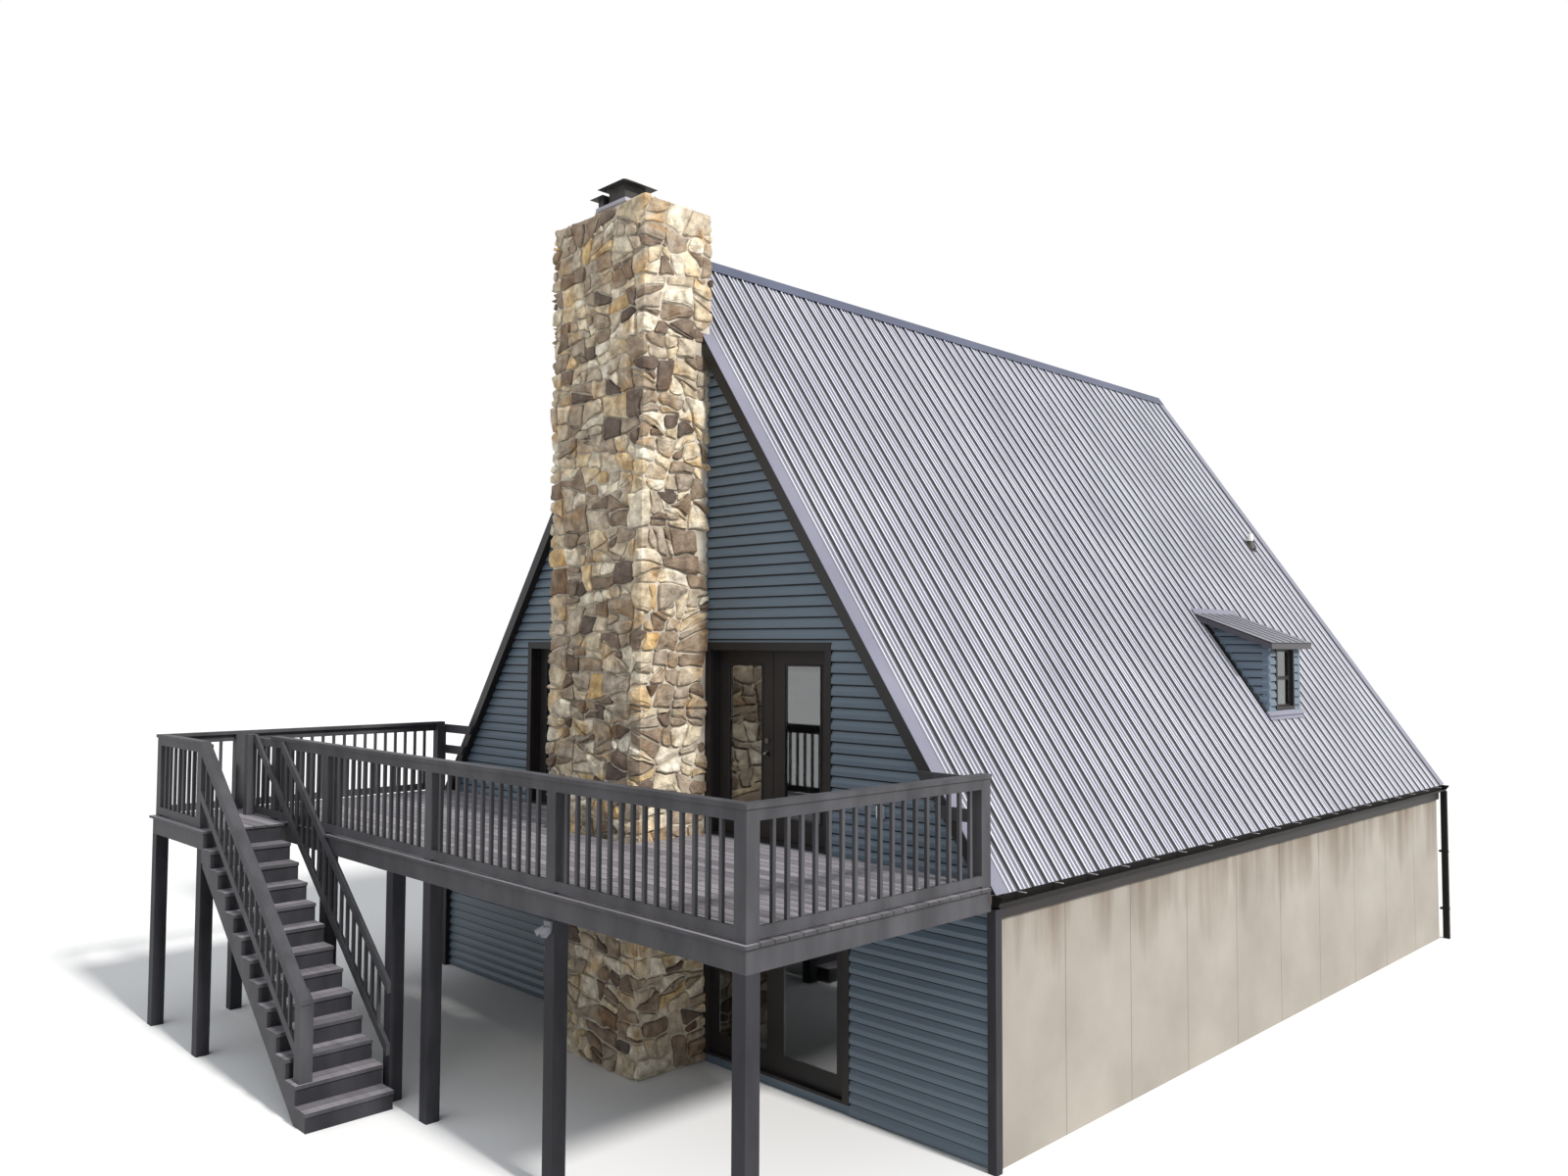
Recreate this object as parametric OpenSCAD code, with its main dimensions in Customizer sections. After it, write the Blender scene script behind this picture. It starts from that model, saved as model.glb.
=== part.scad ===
// A-frame cabin on a walk-out basement, with a deck, an outside stair and a stone chimney.
// The origin is on the lowest ground, under the middle of the house. X runs across the gable,
// Y runs along the ridge from the deck towards the rear gable, and Z is up.

/* [House] */
// Length of the roof along the ridge, from rake to rake
roof_length = 12230; // [9000:10:16000]
// Half of the roof's width at its lower edges
half_width = 4820; // [4400:10:5600]
// Height of the main floor above the lowest ground
floor_height = 2495; // [2400:5:2900]
// How far the roof's lower edge hangs below the main floor
eave_drop = 75; // [40:5:120]
// Height of the ridge above the roof's lower edge
roof_rise = 6900; // [6400:10:7800]

/* [Walls and floors] */
// Thickness of the framed gable walls
wall_thickness = 150; // [120:5:200]
// Thickness of the concrete basement walls
foundation_thickness = 200; // [150:10:300]
// Thickness of the basement slab
slab_thickness = 100; // [80:5:150]
// Depth of the main floor with its joists
floor_thickness = 300; // [240:5:340]

/* [Roof] */
// Depth of the rafters with their boards, square to the slope
roof_thickness = 260; // [200:5:320]
// Distance from one roofing rib to the next
rib_pitch = 229; // [200:1:300]
// Height of the roofing ribs
rib_height = 19; // [12:1:30]
// Width of a rib at its foot
rib_foot = 60; // [50:1:80]
// Width of a rib at its top
rib_top = 24; // [16:1:30]
// Thickness of the roofing sheet and of the trims folded from it
sheet = 4; // [3:0.5:6]
// How far the roof runs past the gable walls
rake_overhang = 120; // [60:5:140]
// Depth of the rake trim down the gable, square to the slope
rake_depth = 125; // [100:5:220]
// Width of the rake trim's flange on the roofing
rake_flange = 175; // [130:5:200]
// Reach of the ridge cap down each slope
ridge_cap_reach = 170; // [120:5:240]
// Thickness of the eave boards that carry the gutters
eave_board = 38; // [25:1:50]

/* [Gutters] */
// Width of a gutter at its mouth
gutter_width = 115; // [100:5:150]
// Depth of a gutter
gutter_depth = 90; // [75:5:120]
// How far the gutter's rim hangs below the roof's lower edge
gutter_drop = 12; // [8:1:20]
// Thickness of a gutter's wall
gutter_wall = 4; // [3:0.5:6]
// Width of a downspout across the wall's end
spout_width = 90; // [60:5:100]
// Thickness of a downspout
spout_thickness = 60; // [50:5:80]

/* [Doors] */
// Gap between the chimney and the nearer door casing
door_side_gap = 5; // [5:1:40]
// Width of one door leaf
leaf_width = 860; // [800:5:860]
// Height of a door leaf
leaf_height = 2000; // [1900:5:2050]
// Thickness of a door leaf
leaf_thickness = 45; // [40:1:50]
// Running gap between a leaf and its frame
leaf_gap = 6; // [5:0.5:8]
// Running gap between the two leaves of a pair
meeting_gap = 8; // [7:0.5:10]
// Thickness of the door frames
jamb_thickness = 30; // [25:1:40]
// Height of the threshold
threshold_height = 25; // [20:1:30]
// Width of the boards around a door frame
casing_width = 85; // [60:5:85]
// Thickness of the boards around a frame
casing_thickness = 30; // [24:1:40]
// How much of the frame's edge shows inside its casing
casing_reveal = 5; // [3:1:8]
// Width of a leaf's stiles
stile_width = 175; // [120:5:200]
// Height of a leaf's top rail
top_rail = 155; // [120:5:200]
// Height of a leaf's bottom rail
bottom_rail = 240; // [180:5:300]
// Height of the knob above the leaf's lower edge
knob_height = 900; // [850:10:1050]
// Radius of a hinge barrel
barrel_radius = 8; // [7:0.5:10]
// Length of a hinge
hinge_length = 100; // [80:5:120]
// Distance from a leaf's end to the middle of its nearest hinge
hinge_inset = 180; // [150:5:220]

/* [Basement door] */
// Width of one panel of the basement door
basement_leaf = 985; // [900:5:1000]
// Height of the wall left over the basement door
basement_header = 135; // [120:5:180]

/* [Windows] */
// Width of the windows in the rear gable
window_width = 900; // [700:10:1100]
// Height of the lower windows in the rear gable
window_height = 1300; // [1000:10:1400]
// Height of the upper window in the rear gable
upper_window_height = 1100; // [900:10:1200]
// Height of the rear windows' sills above the main floor
sill_height = 850; // [800:10:950]
// Height of the upper window's sill above the main floor
upper_sill_height = 3300; // [3200:10:3500]
// Distance from the ridge line to the middle of each lower window
window_offset = 1500; // [1200:10:1600]
// Width of a window's frame and of its sash bars
sash_width = 50; // [40:5:60]
// Thickness of the glass
glass_thickness = 18; // [12:1:24]

/* [Dormer] */
// Distance of the dormer's middle behind the middle of the house
dormer_centre = 2110; // [1000:10:3000]
// Width of the dormer over its cheeks
dormer_width = 1020; // [900:10:1300]
// Distance from the main roof's lower edge back to the dormer's face
dormer_setback = 870; // [820:5:920]
// Height of the dormer's roof over the main roofing at its face
dormer_height = 1045; // [1000:5:1100]
// Slope of the dormer's roof
dormer_slope = 20.5; // [16:0.5:24]
// Depth of the dormer's roof
dormer_roof_depth = 95; // [90:5:140]
// Reach of the dormer's roof past its face
dormer_eave = 130; // [80:5:160]
// Reach of the dormer's roof past each cheek
dormer_side_eave = 170; // [100:5:200]
// Thickness of the dormer's walls
dormer_wall = 100; // [80:5:120]
// Width of the dormer's window
dormer_window_width = 580; // [500:10:600]
// Height of the dormer's window
dormer_window_height = 845; // [700:5:850]
// Height of the wall left over the casing of the dormer's window
dormer_head = 20; // [20:1:40]
// Width of the casing around the dormer's window
dormer_casing = 15; // [10:1:25]
// Depth of the dormer's window frame
dormer_sash_depth = 60; // [50:5:70]

/* [Chimney] */
// Width of the stone stack
stack_width = 1680; // [1400:10:1680]
// Depth of the stone stack in front of the gable wall
stack_depth = 936; // [800:10:1100]
// Height of the stone stack
stack_height = 9495; // [9450:5:9900]
// How far the crown is set in from the stack's faces
crown_inset = 40; // [20:5:80]
// Height of the sloping crown
crown_height = 100; // [80:5:150]
// Width of the crown's slopes
crown_run = 180; // [120:10:220]
// Place of the flue block's middle left of the ridge line
flue_place = 42; // [0:1:100]
// Distance of the flue block's middle in front of the stack's middle
flue_shift = 37; // [0:1:60]
// Width of the flue block
flue_width = 500; // [450:10:560]
// Depth of the flue block
flue_depth = 440; // [400:10:500]
// Height of the flue block above the crown
flue_height = 45; // [30:5:80]
// Thickness of the plate on the flue block
plate_thickness = 40; // [20:5:50]
// Reach of the plate past the flue block
plate_reach = 33; // [20:1:50]
// Place of the larger cap's middle right of the ridge line
large_cap_place = 50; // [0:1:80]
// Distance of the larger cap's middle in front of the flue block's middle
large_cap_shift = 80; // [0:1:90]
// Side of the larger cap's screen
screen_side = 300; // [260:10:320]
// Height of the larger cap's screen
screen_height = 170; // [150:5:200]
// Rise of the larger cap's lid
lid_rise = 110; // [80:5:140]
// Reach of the larger lid past its screen
lid_overhang = 100; // [60:5:110]
// Place of the smaller cap's middle left of the ridge line
small_cap_place = 235; // [220:1:240]
// Distance of the smaller cap's middle in front of the flue block's middle
small_cap_shift = 195; // [150:1:200]
// Side of the smaller cap's screen
small_screen_side = 100; // [90:5:110]
// Height of the smaller cap's screen
small_screen_height = 95; // [80:5:100]

/* [Deck] */
// Depth of the deck in front of the gable wall
deck_depth = 3110; // [2600:10:3600]
// How far the deck runs past the roof's lower edge on each side
deck_side_reach = 10; // [0:5:100]
// Thickness of the deck boards
deck_board = 28; // [25:1:38]
// How far the deck boards run past the rim
board_overhang = 35; // [20:5:50]
// Depth of the joists and the rim
joist_depth = 184; // [140:2:235]
// Thickness of the joists and the rim
joist_thickness = 38; // [35:1:50]
// Distance from one joist to the next
joist_pitch = 600; // [400:10:700]
// Side of the posts under the deck
deck_post = 140; // [120:5:160]
// Side of the posts beside the gable wall
wall_post = 90; // [80:5:100]
// Distance of the left front post from the ridge line
left_post = 2060; // [1900:10:2200]
// Distance of the middle front post right of the ridge line
middle_post = 264; // [200:1:400]
// Distance of the right front post from the ridge line
right_post = 2371; // [2200:1:2500]
// Distance of the post beside the landing from the landing's right edge
landing_post = 425; // [380:5:500]
// Distance of the post beside the stair's foot left of the ridge line
foot_post = 495; // [450:5:550]
// Width of the landing at the deck's left front corner
landing_width = 1770; // [1700:10:1850]
// Reach of the landing in front of the deck
landing_reach = 915; // [850:5:1000]
// Gap between the deck and the chimney
chimney_gap = 6; // [5:1:15]
// Gap between the deck and the legs of the rake trims
rake_gap = 5; // [5:1:15]

/* [Stair] */
// Number of risers from the ground to the deck
risers = 13; // [12:1:14]
// Going of one step
going = 236; // [225:1:250]
// Reach of a tread past its riser
nosing = 25; // [15:1:35]
// Reach of the treads past the outer stringer
tread_reach = 15; // [5:1:25]
// Thickness of the treads
tread_thickness = 38; // [30:1:45]
// Thickness of the riser boards
riser_board = 19; // [15:1:25]
// Depth of a stringer under its notches, square to the slope
stringer_throat = 130; // [100:5:160]
// Number of stringers
stringers = 3; // [2:1:4]
// Gap between the stair and its inner railing
stair_gap = 5; // [5:1:10]

/* [Railings] */
// Height of the railings above the deck
rail_height = 980; // [900:10:1070]
// Side of the railing posts
rail_post = 130; // [89:1:140]
// Thickness of the rails and of the cap board
rail_board = 38; // [32:1:45]
// Depth of the upper and lower rails
rail_depth = 89; // [70:1:100]
// Width of the cap board
cap_width = 110; // [100:5:180]
// Reach of the cap board past the outer faces of the posts
rail_lip = 15; // [10:1:25]
// Gap between the deck and the lower rail
rail_gap = 20; // [15:5:80]
// Side of a baluster
baluster = 32; // [28:1:38]
// Distance from one baluster to the next
baluster_pitch = 148; // [120:1:160]
// Depth of the two boards that close the railing against each rake trim
return_depth = 115; // [90:5:140]
// Gap between those two boards
return_gap = 180; // [120:5:220]
// Distance from the landing's right edge back to the post at the stair's head
head_setback = 240; // [200:5:280]
// Distance of the landing's railing behind the landing's rim
landing_rail_setback = 30; // [20:5:50]
// Side of the slim post between the landing and the deck
slim_post = 100; // [89:1:110]
// Width of the short railing bay beside the way to the landing
head_bay = 580; // [500:10:620]
// Height of the stair's lower rails above the nosings
stair_rail_gap = 120; // [90:5:150]
// Height of the stair's inner handrail above the nosings
inner_rail_height = 850; // [800:10:900]

/* [Vent pipe and lamp] */
// Distance of the vent pipe from the rear rake
vent_setback = 780; // [600:5:1000]
// Distance from the ridge line to the vent pipe
vent_place = 2083; // [1800:1:2300]
// Radius of the vent pipe
vent_radius = 45; // [38:1:57]
// Height of the vent pipe above the roofing
vent_height = 200; // [150:10:300]
// Side of the floodlight's housing
lamp_side = 90; // [70:5:110]

/* [Hidden] */
$fn = 48;
cut = 1;
seat = 0.3;

eave_z = floor_height - eave_drop;
ridge_z = eave_z + roof_rise;
slope = atan2(roof_rise, half_width);
slope_length = norm([roof_rise, half_width]);
half_length = roof_length / 2;
wall_y = half_length - rake_overhang;
front_y = -wall_y;
structure_depth = rib_height + sheet;
lining_depth = structure_depth + roof_thickness;
floor_half = floor(layer_x(structure_depth, floor_height));
floor_bottom = floor_height - floor_thickness;
foundation_inner = floor_half - foundation_thickness;
eave_face = floor_half + eave_board;
eave_board_drop = 5;

frame_half = leaf_width + meeting_gap / 2 + leaf_gap;
rough_half = frame_half + jamb_thickness;
casing_half = frame_half + casing_reveal + casing_width;
door_centre = stack_width / 2 + door_side_gap + casing_half;
leaf_bottom = floor_height + threshold_height + leaf_gap;
leaf_top = leaf_bottom + leaf_height;
rough_top = leaf_top + leaf_gap + jamb_thickness;
leaf_back = front_y + wall_thickness;
leaf_front = leaf_back - leaf_thickness;
stop_depth = 20;
stop_reach = 2 * leaf_gap;
hinge_y = leaf_back + barrel_radius + 1;
hinge_plate = 2.5;
hinge_plate_width = 30;
hinge_ends = [hinge_inset, leaf_height / 2, leaf_height - hinge_inset];
basement_top = floor_bottom - basement_header;
basement_half = basement_leaf + meeting_gap / 2 + leaf_gap;
basement_casing = basement_half + casing_reveal + casing_width;
basement_stile = stile_width * 0.7;
basement_centre = stack_width / 2 + door_side_gap + basement_casing;

deck_half = half_width + deck_side_reach;
deck_front = front_y - deck_depth;
rim_half = deck_half - board_overhang;
rim_front = deck_front + board_overhang;
landing_front = deck_front - landing_reach;
landing_rim_front = landing_front + board_overhang;
landing_right = -deck_half + landing_width;
frame_top = floor_height - deck_board;
frame_bottom = frame_top - joist_depth;
wall_clearance = 2;
notch_half = stack_width / 2 + chimney_gap;
notch_front = front_y - stack_depth - chimney_gap;
rake_clear_x = floor(layer_x(rake_depth, floor_height)) - rake_gap;
rear_rail_y = -half_length - rail_board;
deck_post_places = [landing_right - landing_post, -left_post, middle_post, right_post];

riser_height = floor_height / risers;
treads = risers - 1;
stair_top = landing_right - nosing;
stair_back = rim_front - rail_board - stair_gap;
stair_angle = atan2(riser_height, going);
header_right = stair_top - riser_board;
header_depth = ceil(riser_height) + tread_thickness + stringer_throat - deck_board;

rail_top = floor_height + rail_height;
rail_under_cap = rail_top - rail_board;
landing_rail_y = landing_rim_front + landing_rail_setback;
head_post_x = landing_right - head_setback - rail_post;
newel_x = stair_top + (treads - 1) * going - rail_post;
bay_start = deck_post_places[0] - rail_post / 2 - head_bay;
stair_rail_rise = rail_top - pitch_z(landing_right - head_setback);
sloping_rail = rail_depth / cos(stair_angle);
sloping_cap = rail_board / cos(stair_angle);
inner_rail_start = pitch_x(rail_under_cap - seat - inner_rail_height);
inner_rail_end = deck_post / 2 - foot_post;
board_trim_end = pitch_x(frame_top - inner_rail_height) + nosing;

dormer_face = half_width - dormer_setback;
dormer_roof_z = round(layer_z(0, dormer_face)) + dormer_height;
dormer_y = [dormer_centre - dormer_width / 2, dormer_centre + dormer_width / 2];
dormer_window_top = dormer_under(dormer_face) - dormer_head - dormer_casing;
dormer_window_bottom = dormer_window_top - dormer_window_height;

stack_front = front_y - stack_depth;
crown_z = stack_height + crown_height;
plate_z = crown_z + flue_height + plate_thickness;
flue_middle = [-flue_place, (front_y + stack_front) / 2 - flue_shift];
large_cap = [large_cap_place, flue_middle.y - large_cap_shift];
small_cap = [-small_cap_place, flue_middle.y - small_cap_shift];
screen_wall = 10;
vent_wall = 5;

// Distance from the ridge line to a roof layer at height z, for a layer so deep under the rib tops
function layer_x(depth, z) = half_width * (ridge_z - z) / roof_rise - depth / sin(slope);
// Height of the same layer on the ridge line
function layer_apex(depth) = ridge_z - depth / cos(slope);
// Height of the same layer at a distance from the ridge line
function layer_z(depth, x) = layer_apex(depth) - x * tan(slope);
// Height of the underside of the dormer's roof at a distance from the ridge line
function dormer_under(x) = dormer_roof_z + (dormer_face - x) * tan(dormer_slope) - dormer_roof_depth;
// Distance from the ridge line at which a line rising inwards meets a roof layer
function meet_x(z_at_face, depth) =
    (layer_apex(depth) - z_at_face - dormer_face * tan(dormer_slope)) / (tan(slope) - tan(dormer_slope));
// Height of a tread's upper face, counted down from the landing
function tread_z(k) = floor_height - round(k * riser_height);
// Height of the line through the nosings at a place along the stair, and the place for a height
function pitch_z(x) = floor_height - (x - landing_right) * tan(stair_angle);
function pitch_x(z) = landing_right + (floor_height - z) / tan(stair_angle);

// Draws its children and their mirror image across the ridge line
module both_sides() {
    children();
    mirror([1, 0, 0]) children();
}

// Draws its children and their mirror image across the middle of the house
module both_gables() {
    children();
    mirror([0, 1, 0]) children();
}

// Lays its children on the right slope: x up the slope from its edge, z outwards from the rib tops
module on_slope() {
    translate([half_width, 0, eave_z]) rotate([0, slope, 0]) rotate([0, 0, 180]) children();
}

// Extrudes an outline given in X and Z along Y, from y0 to y1
module along_ridge(y0, y1) {
    translate([0, y1, 0]) rotate([90, 0, 0]) linear_extrude(y1 - y0) children();
}

// Box between two corners
module block(low, high) {
    translate(low) cube(high - low);
}

// Outline of a wall under the roof between two heights and right of a given distance
module gable_outline(z0, z1, x0) {
    polygon([[x0, z0], [layer_x(lining_depth, z0), z0], [layer_x(lining_depth, z1), z1], [x0, z1]]);
}

// Outline of an inverted V between two roof layers, down to height z0
module roof_band(outer, inner, z0) {
    polygon([[layer_x(outer, z0), z0], [0, layer_apex(outer)], [-layer_x(outer, z0), z0],
        [-layer_x(inner, z0), z0], [0, layer_apex(inner)], [layer_x(inner, z0), z0]]);
}

module basement_slab() {
    color("darkgray")
    block([-foundation_inner, front_y + wall_thickness, 0],
        [foundation_inner, wall_y - foundation_thickness, slab_thickness]);
}

module foundation_sides() {
    color("tan")
    both_sides()
    block([foundation_inner, front_y, 0], [floor_half, wall_y, floor_bottom]);
}

module foundation_rear() {
    color("tan")
    block([-foundation_inner, wall_y - foundation_thickness, 0], [foundation_inner, wall_y, floor_bottom]);
}

// Opening for the basement door
module basement_opening(depth_out) {
    half = basement_half + jamb_thickness;
    block([basement_centre - half, front_y - depth_out, slab_thickness],
        [basement_centre + half, front_y + wall_thickness + cut, basement_top]);
}

module basement_wall() {
    color("slategray")
    difference() {
        block([-foundation_inner, front_y, 0], [foundation_inner, front_y + wall_thickness, floor_bottom]);
        basement_opening(cut);
    }
}

// Panes of the basement door, as the low and high corners of each
function basement_panes() = [for (side = [-1, 1])
    let (near = meeting_gap / 2 + basement_stile, far = basement_half - basement_stile)
    [[basement_centre + (side > 0 ? near : -far), slab_thickness + bottom_rail],
     [basement_centre + (side > 0 ? far : -near), basement_top - top_rail]]];

module basement_door() {
    outer = basement_centre + basement_half + jamb_thickness;
    inner = basement_centre - basement_half - jamb_thickness;
    head = basement_top - jamb_thickness + casing_reveal + casing_width;
    color("dimgray")
    difference() {
        union() {
            block([inner, front_y, slab_thickness], [outer, front_y + wall_thickness / 2, basement_top]);
            block([basement_centre - basement_casing, front_y - casing_thickness, slab_thickness],
                [basement_centre + basement_casing, front_y, head]);
        }
        block([inner + jamb_thickness, front_y - casing_thickness - cut, slab_thickness + jamb_thickness],
            [outer - jamb_thickness, front_y + casing_thickness, basement_top - jamb_thickness]);
        for (pane = basement_panes())
            block([pane[0].x, front_y - cut, pane[0].y], [pane[1].x, front_y + wall_thickness, pane[1].y]);
    }
}

module main_floor() {
    color("burlywood")
    block([-floor_half, front_y, floor_bottom], [floor_half, wall_y, floor_height]);
}

// Wall beside and between the two pairs of doors
module front_wall_lower() {
    color("slategray")
    along_ridge(front_y, front_y + wall_thickness) {
        translate([-door_centre + rough_half, floor_height])
            square([2 * (door_centre - rough_half), rough_top - floor_height]);
        both_sides() gable_outline(floor_height, rough_top, door_centre + rough_half);
    }
}

module front_wall_upper() {
    reach = layer_x(lining_depth, rough_top);
    color("slategray")
    along_ridge(front_y, front_y + wall_thickness)
        polygon([[-reach, rough_top], [reach, rough_top], [0, layer_apex(lining_depth)]]);
}

// Windows of the rear gable: the middle, the sill's height, the width and the height of each
function rear_openings() = [
    [-window_offset, floor_height + sill_height, window_width, window_height],
    [window_offset, floor_height + sill_height, window_width, window_height],
    [0, floor_height + upper_sill_height, window_width, upper_window_height]];

module rear_wall() {
    reach = layer_x(lining_depth, floor_height);
    color("slategray")
    along_ridge(wall_y - wall_thickness, wall_y)
    difference() {
        polygon([[-reach, floor_height], [reach, floor_height], [0, layer_apex(lining_depth)]]);
        for (w = rear_openings()) translate([w[0] - w[2] / 2, w[1]]) square([w[2], w[3]]);
    }
}

// Sash frame of a double-hung window in X and Z, with its casing; the face is at y = 0 and looks to -Y
module sash_window(width, height, depth, casing) {
    difference() {
        union() {
            translate([-width / 2, 0, 0]) cube([width, depth, height]);
            translate([-width / 2 - casing, -casing_thickness, -casing])
                cube([width + 2 * casing, casing_thickness, height + 2 * casing]);
        }
        for (pane = sash_panes(width, height))
            block([pane[0].x, -casing_thickness - cut, pane[0].y], [pane[1].x, depth + cut, pane[1].y]);
        translate([-width / 2 + sash_width / 2, -casing_thickness - cut, sash_width / 2])
            cube([width - sash_width, casing_thickness + depth / 3, height - sash_width]);
    }
}

// The two panes of a double-hung window, as the low and high corners of each
function sash_panes(width, height) = [for (row = [0, 1])
    [[-width / 2 + sash_width, row == 0 ? sash_width : (height + sash_width) / 2],
     [width / 2 - sash_width, row == 0 ? (height - sash_width) / 2 : height - sash_width]]];

// Glass of a double-hung window, seated in its sashes
module sash_glass(width, height, depth) {
    for (pane = sash_panes(width, height))
        block([pane[0].x + seat, depth / 2, pane[0].y + seat],
            [pane[1].x - seat, depth / 2 + glass_thickness, pane[1].y - seat]);
}

module place_rear_window(w) {
    translate([w[0], wall_y, w[1]]) rotate([0, 0, 180]) children();
}

module rear_windows() {
    color("dimgray")
    for (w = rear_openings()) place_rear_window(w) sash_window(w[2], w[3], wall_thickness, sash_width);
}

// Places a window in the dormer's face
module place_dormer_window() {
    translate([dormer_face, dormer_centre, dormer_window_bottom]) rotate([0, 0, 90]) children();
}

module dormer_window() {
    color("dimgray")
    place_dormer_window()
        sash_window(dormer_window_width, dormer_window_height, dormer_sash_depth, dormer_casing);
}

// Every pane that doesn't move
module window_glass() {
    color("lightblue", 0.4) {
        for (w = rear_openings()) place_rear_window(w) sash_glass(w[2], w[3], wall_thickness);
        place_dormer_window() sash_glass(dormer_window_width, dormer_window_height, dormer_sash_depth);
        for (pane = basement_panes())
            block([pane[0].x + seat, front_y + casing_thickness + seat, pane[0].y + seat],
                [pane[1].x - seat, front_y + casing_thickness + glass_thickness, pane[1].y - seat]);
    }
}

// Rafters, boards and ceiling of one slope
module roof_side() {
    along_ridge(front_y, wall_y)
        polygon([[layer_x(structure_depth, floor_height), floor_height], [0, layer_apex(structure_depth)],
            [0, layer_apex(lining_depth)], [layer_x(lining_depth, floor_height), floor_height]]);
}

module roof_left() {
    color("saddlebrown")
    mirror([1, 0, 0]) roof_side();
}

// Space inside the dormer, run on down through the roof
module dormer_hollow() {
    face = dormer_face - dormer_wall;
    inside = meet_x(dormer_under(dormer_face), lining_depth + cut);
    along_ridge(dormer_y[0] + dormer_wall, dormer_y[1] - dormer_wall)
        polygon([[face, layer_z(lining_depth + cut, face)], [face, dormer_under(face)],
            [inside, dormer_under(inside)]]);
}

module roof_right() {
    color("saddlebrown")
    difference() {
        roof_side();
        dormer_hollow();
    }
}

// Ribbed roofing of the right slope, its ribs running up the slope
module metal_sheet() {
    ribs = floor((2 * wall_y - rib_foot) / rib_pitch);
    first = -ribs * rib_pitch / 2;
    end = wall_y - seat;
    points = [for (i = [0:ribs]) let (y = first + i * rib_pitch)
        each [[y - rib_foot / 2, -rib_height], [y - rib_top / 2, 0],
            [y + rib_top / 2, 0], [y + rib_foot / 2, -rib_height]]];
    color("lightslategray")
    on_slope() rotate([90, 0, 90]) linear_extrude(slope_length - 3 * structure_depth)
        polygon(concat([[-end, seat - structure_depth], [-end, -rib_height]], points,
            [[end, -rib_height], [end, seat - structure_depth]]));
}

module metal_roof_left() {
    mirror([1, 0, 0]) metal_sheet();
}

module metal_roof_right() {
    inside = meet_x(dormer_under(dormer_face), 0);
    difference() {
        metal_sheet();
        along_ridge(dormer_y[0] - seat, dormer_y[1] + seat)
            polygon([[dormer_face, eave_z], [dormer_face, dormer_under(dormer_face)],
                [inside - roof_thickness, dormer_under(inside - roof_thickness)],
                [inside - roof_thickness, eave_z]]);
        vent_hole();
    }
}

module ridge_cap() {
    foot = layer_apex(0) - ridge_cap_reach * sin(slope);
    color("lightslategray") {
        along_ridge(front_y + seat, half_length) roof_band(-2 * sheet, -sheet - seat, foot);
        along_ridge(rake_flange - half_length + seat, half_length - rake_flange - seat)
            roof_band(-2 * sheet, -seat, foot);
    }
}

// Folded trims over both ends of the roof: a drop down the gable and a flange on the ribs
module rake_trims() {
    color("lightslategray")
    difference() {
        both_gables() {
            along_ridge(-half_length, front_y) roof_band(-sheet, rake_depth, eave_z);
            along_ridge(-half_length, rake_flange - half_length) roof_band(-sheet, -seat, eave_z);
        }
        block([-stack_width / 2 - seat, stack_front, 0], [stack_width / 2 + seat, front_y, ridge_z * 2]);
    }
}

module eave_boards() {
    color("dimgray")
    both_sides()
    block([floor_half, -wall_y, floor_bottom - eave_board_drop],
        [eave_face, wall_y, layer_z(structure_depth, eave_face) - seat]);
}

// Outline of the gutter's front and floor, set in from its outside by a margin
function gutter_outline(margin) = [
    [0, margin - gutter_depth], [gutter_width * 0.6 - margin, margin - gutter_depth],
    [gutter_width * 0.74 - margin, -gutter_depth * 0.62],
    [gutter_width * 0.95 - margin, -gutter_depth * 0.3],
    [gutter_width - margin, -gutter_depth * 0.12], [gutter_width - margin, margin > 0 ? cut : 0],
    [0, margin > 0 ? cut : 0]];

// Gutters with a downspout at the rear end of each
module gutters() {
    top = eave_z - gutter_drop;
    spout_y = half_length - spout_thickness;
    color("dimgray")
    both_sides() {
        difference() {
            translate([eave_face, 0, top]) along_ridge(-half_length, half_length)
                polygon(gutter_outline(0));
            translate([eave_face + gutter_wall, 0, top])
                along_ridge(gutter_wall - half_length, half_length - gutter_wall)
                polygon(gutter_outline(gutter_wall));
        }
        block([eave_face, spout_y, 0],
            [eave_face + spout_width, half_length - gutter_wall, top - gutter_depth]);
    }
}

// Cheeks and face of the dormer, standing on the roof's boards
module dormer_walls() {
    face = dormer_face - dormer_wall;
    foot = structure_depth - seat;
    tip = meet_x(dormer_under(dormer_face) - seat, foot);
    color("slategray")
    difference() {
        union() {
            for (y = [dormer_y[0], dormer_y[1] - dormer_wall])
                along_ridge(y, y + dormer_wall)
                    polygon([[dormer_face, layer_z(foot, dormer_face)],
                        [dormer_face, dormer_under(dormer_face) - seat], [tip, layer_z(foot, tip)]]);
            along_ridge(dormer_y[0], dormer_y[1])
                polygon([[dormer_face, layer_z(foot, dormer_face)],
                    [dormer_face, dormer_under(dormer_face) - seat], [face, dormer_under(face) - seat],
                    [face, layer_z(foot, face)]]);
        }
        block([face - cut, dormer_centre - dormer_window_width / 2, dormer_window_bottom],
            [dormer_face + cut, dormer_centre + dormer_window_width / 2, dormer_window_top]);
    }
}

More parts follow.
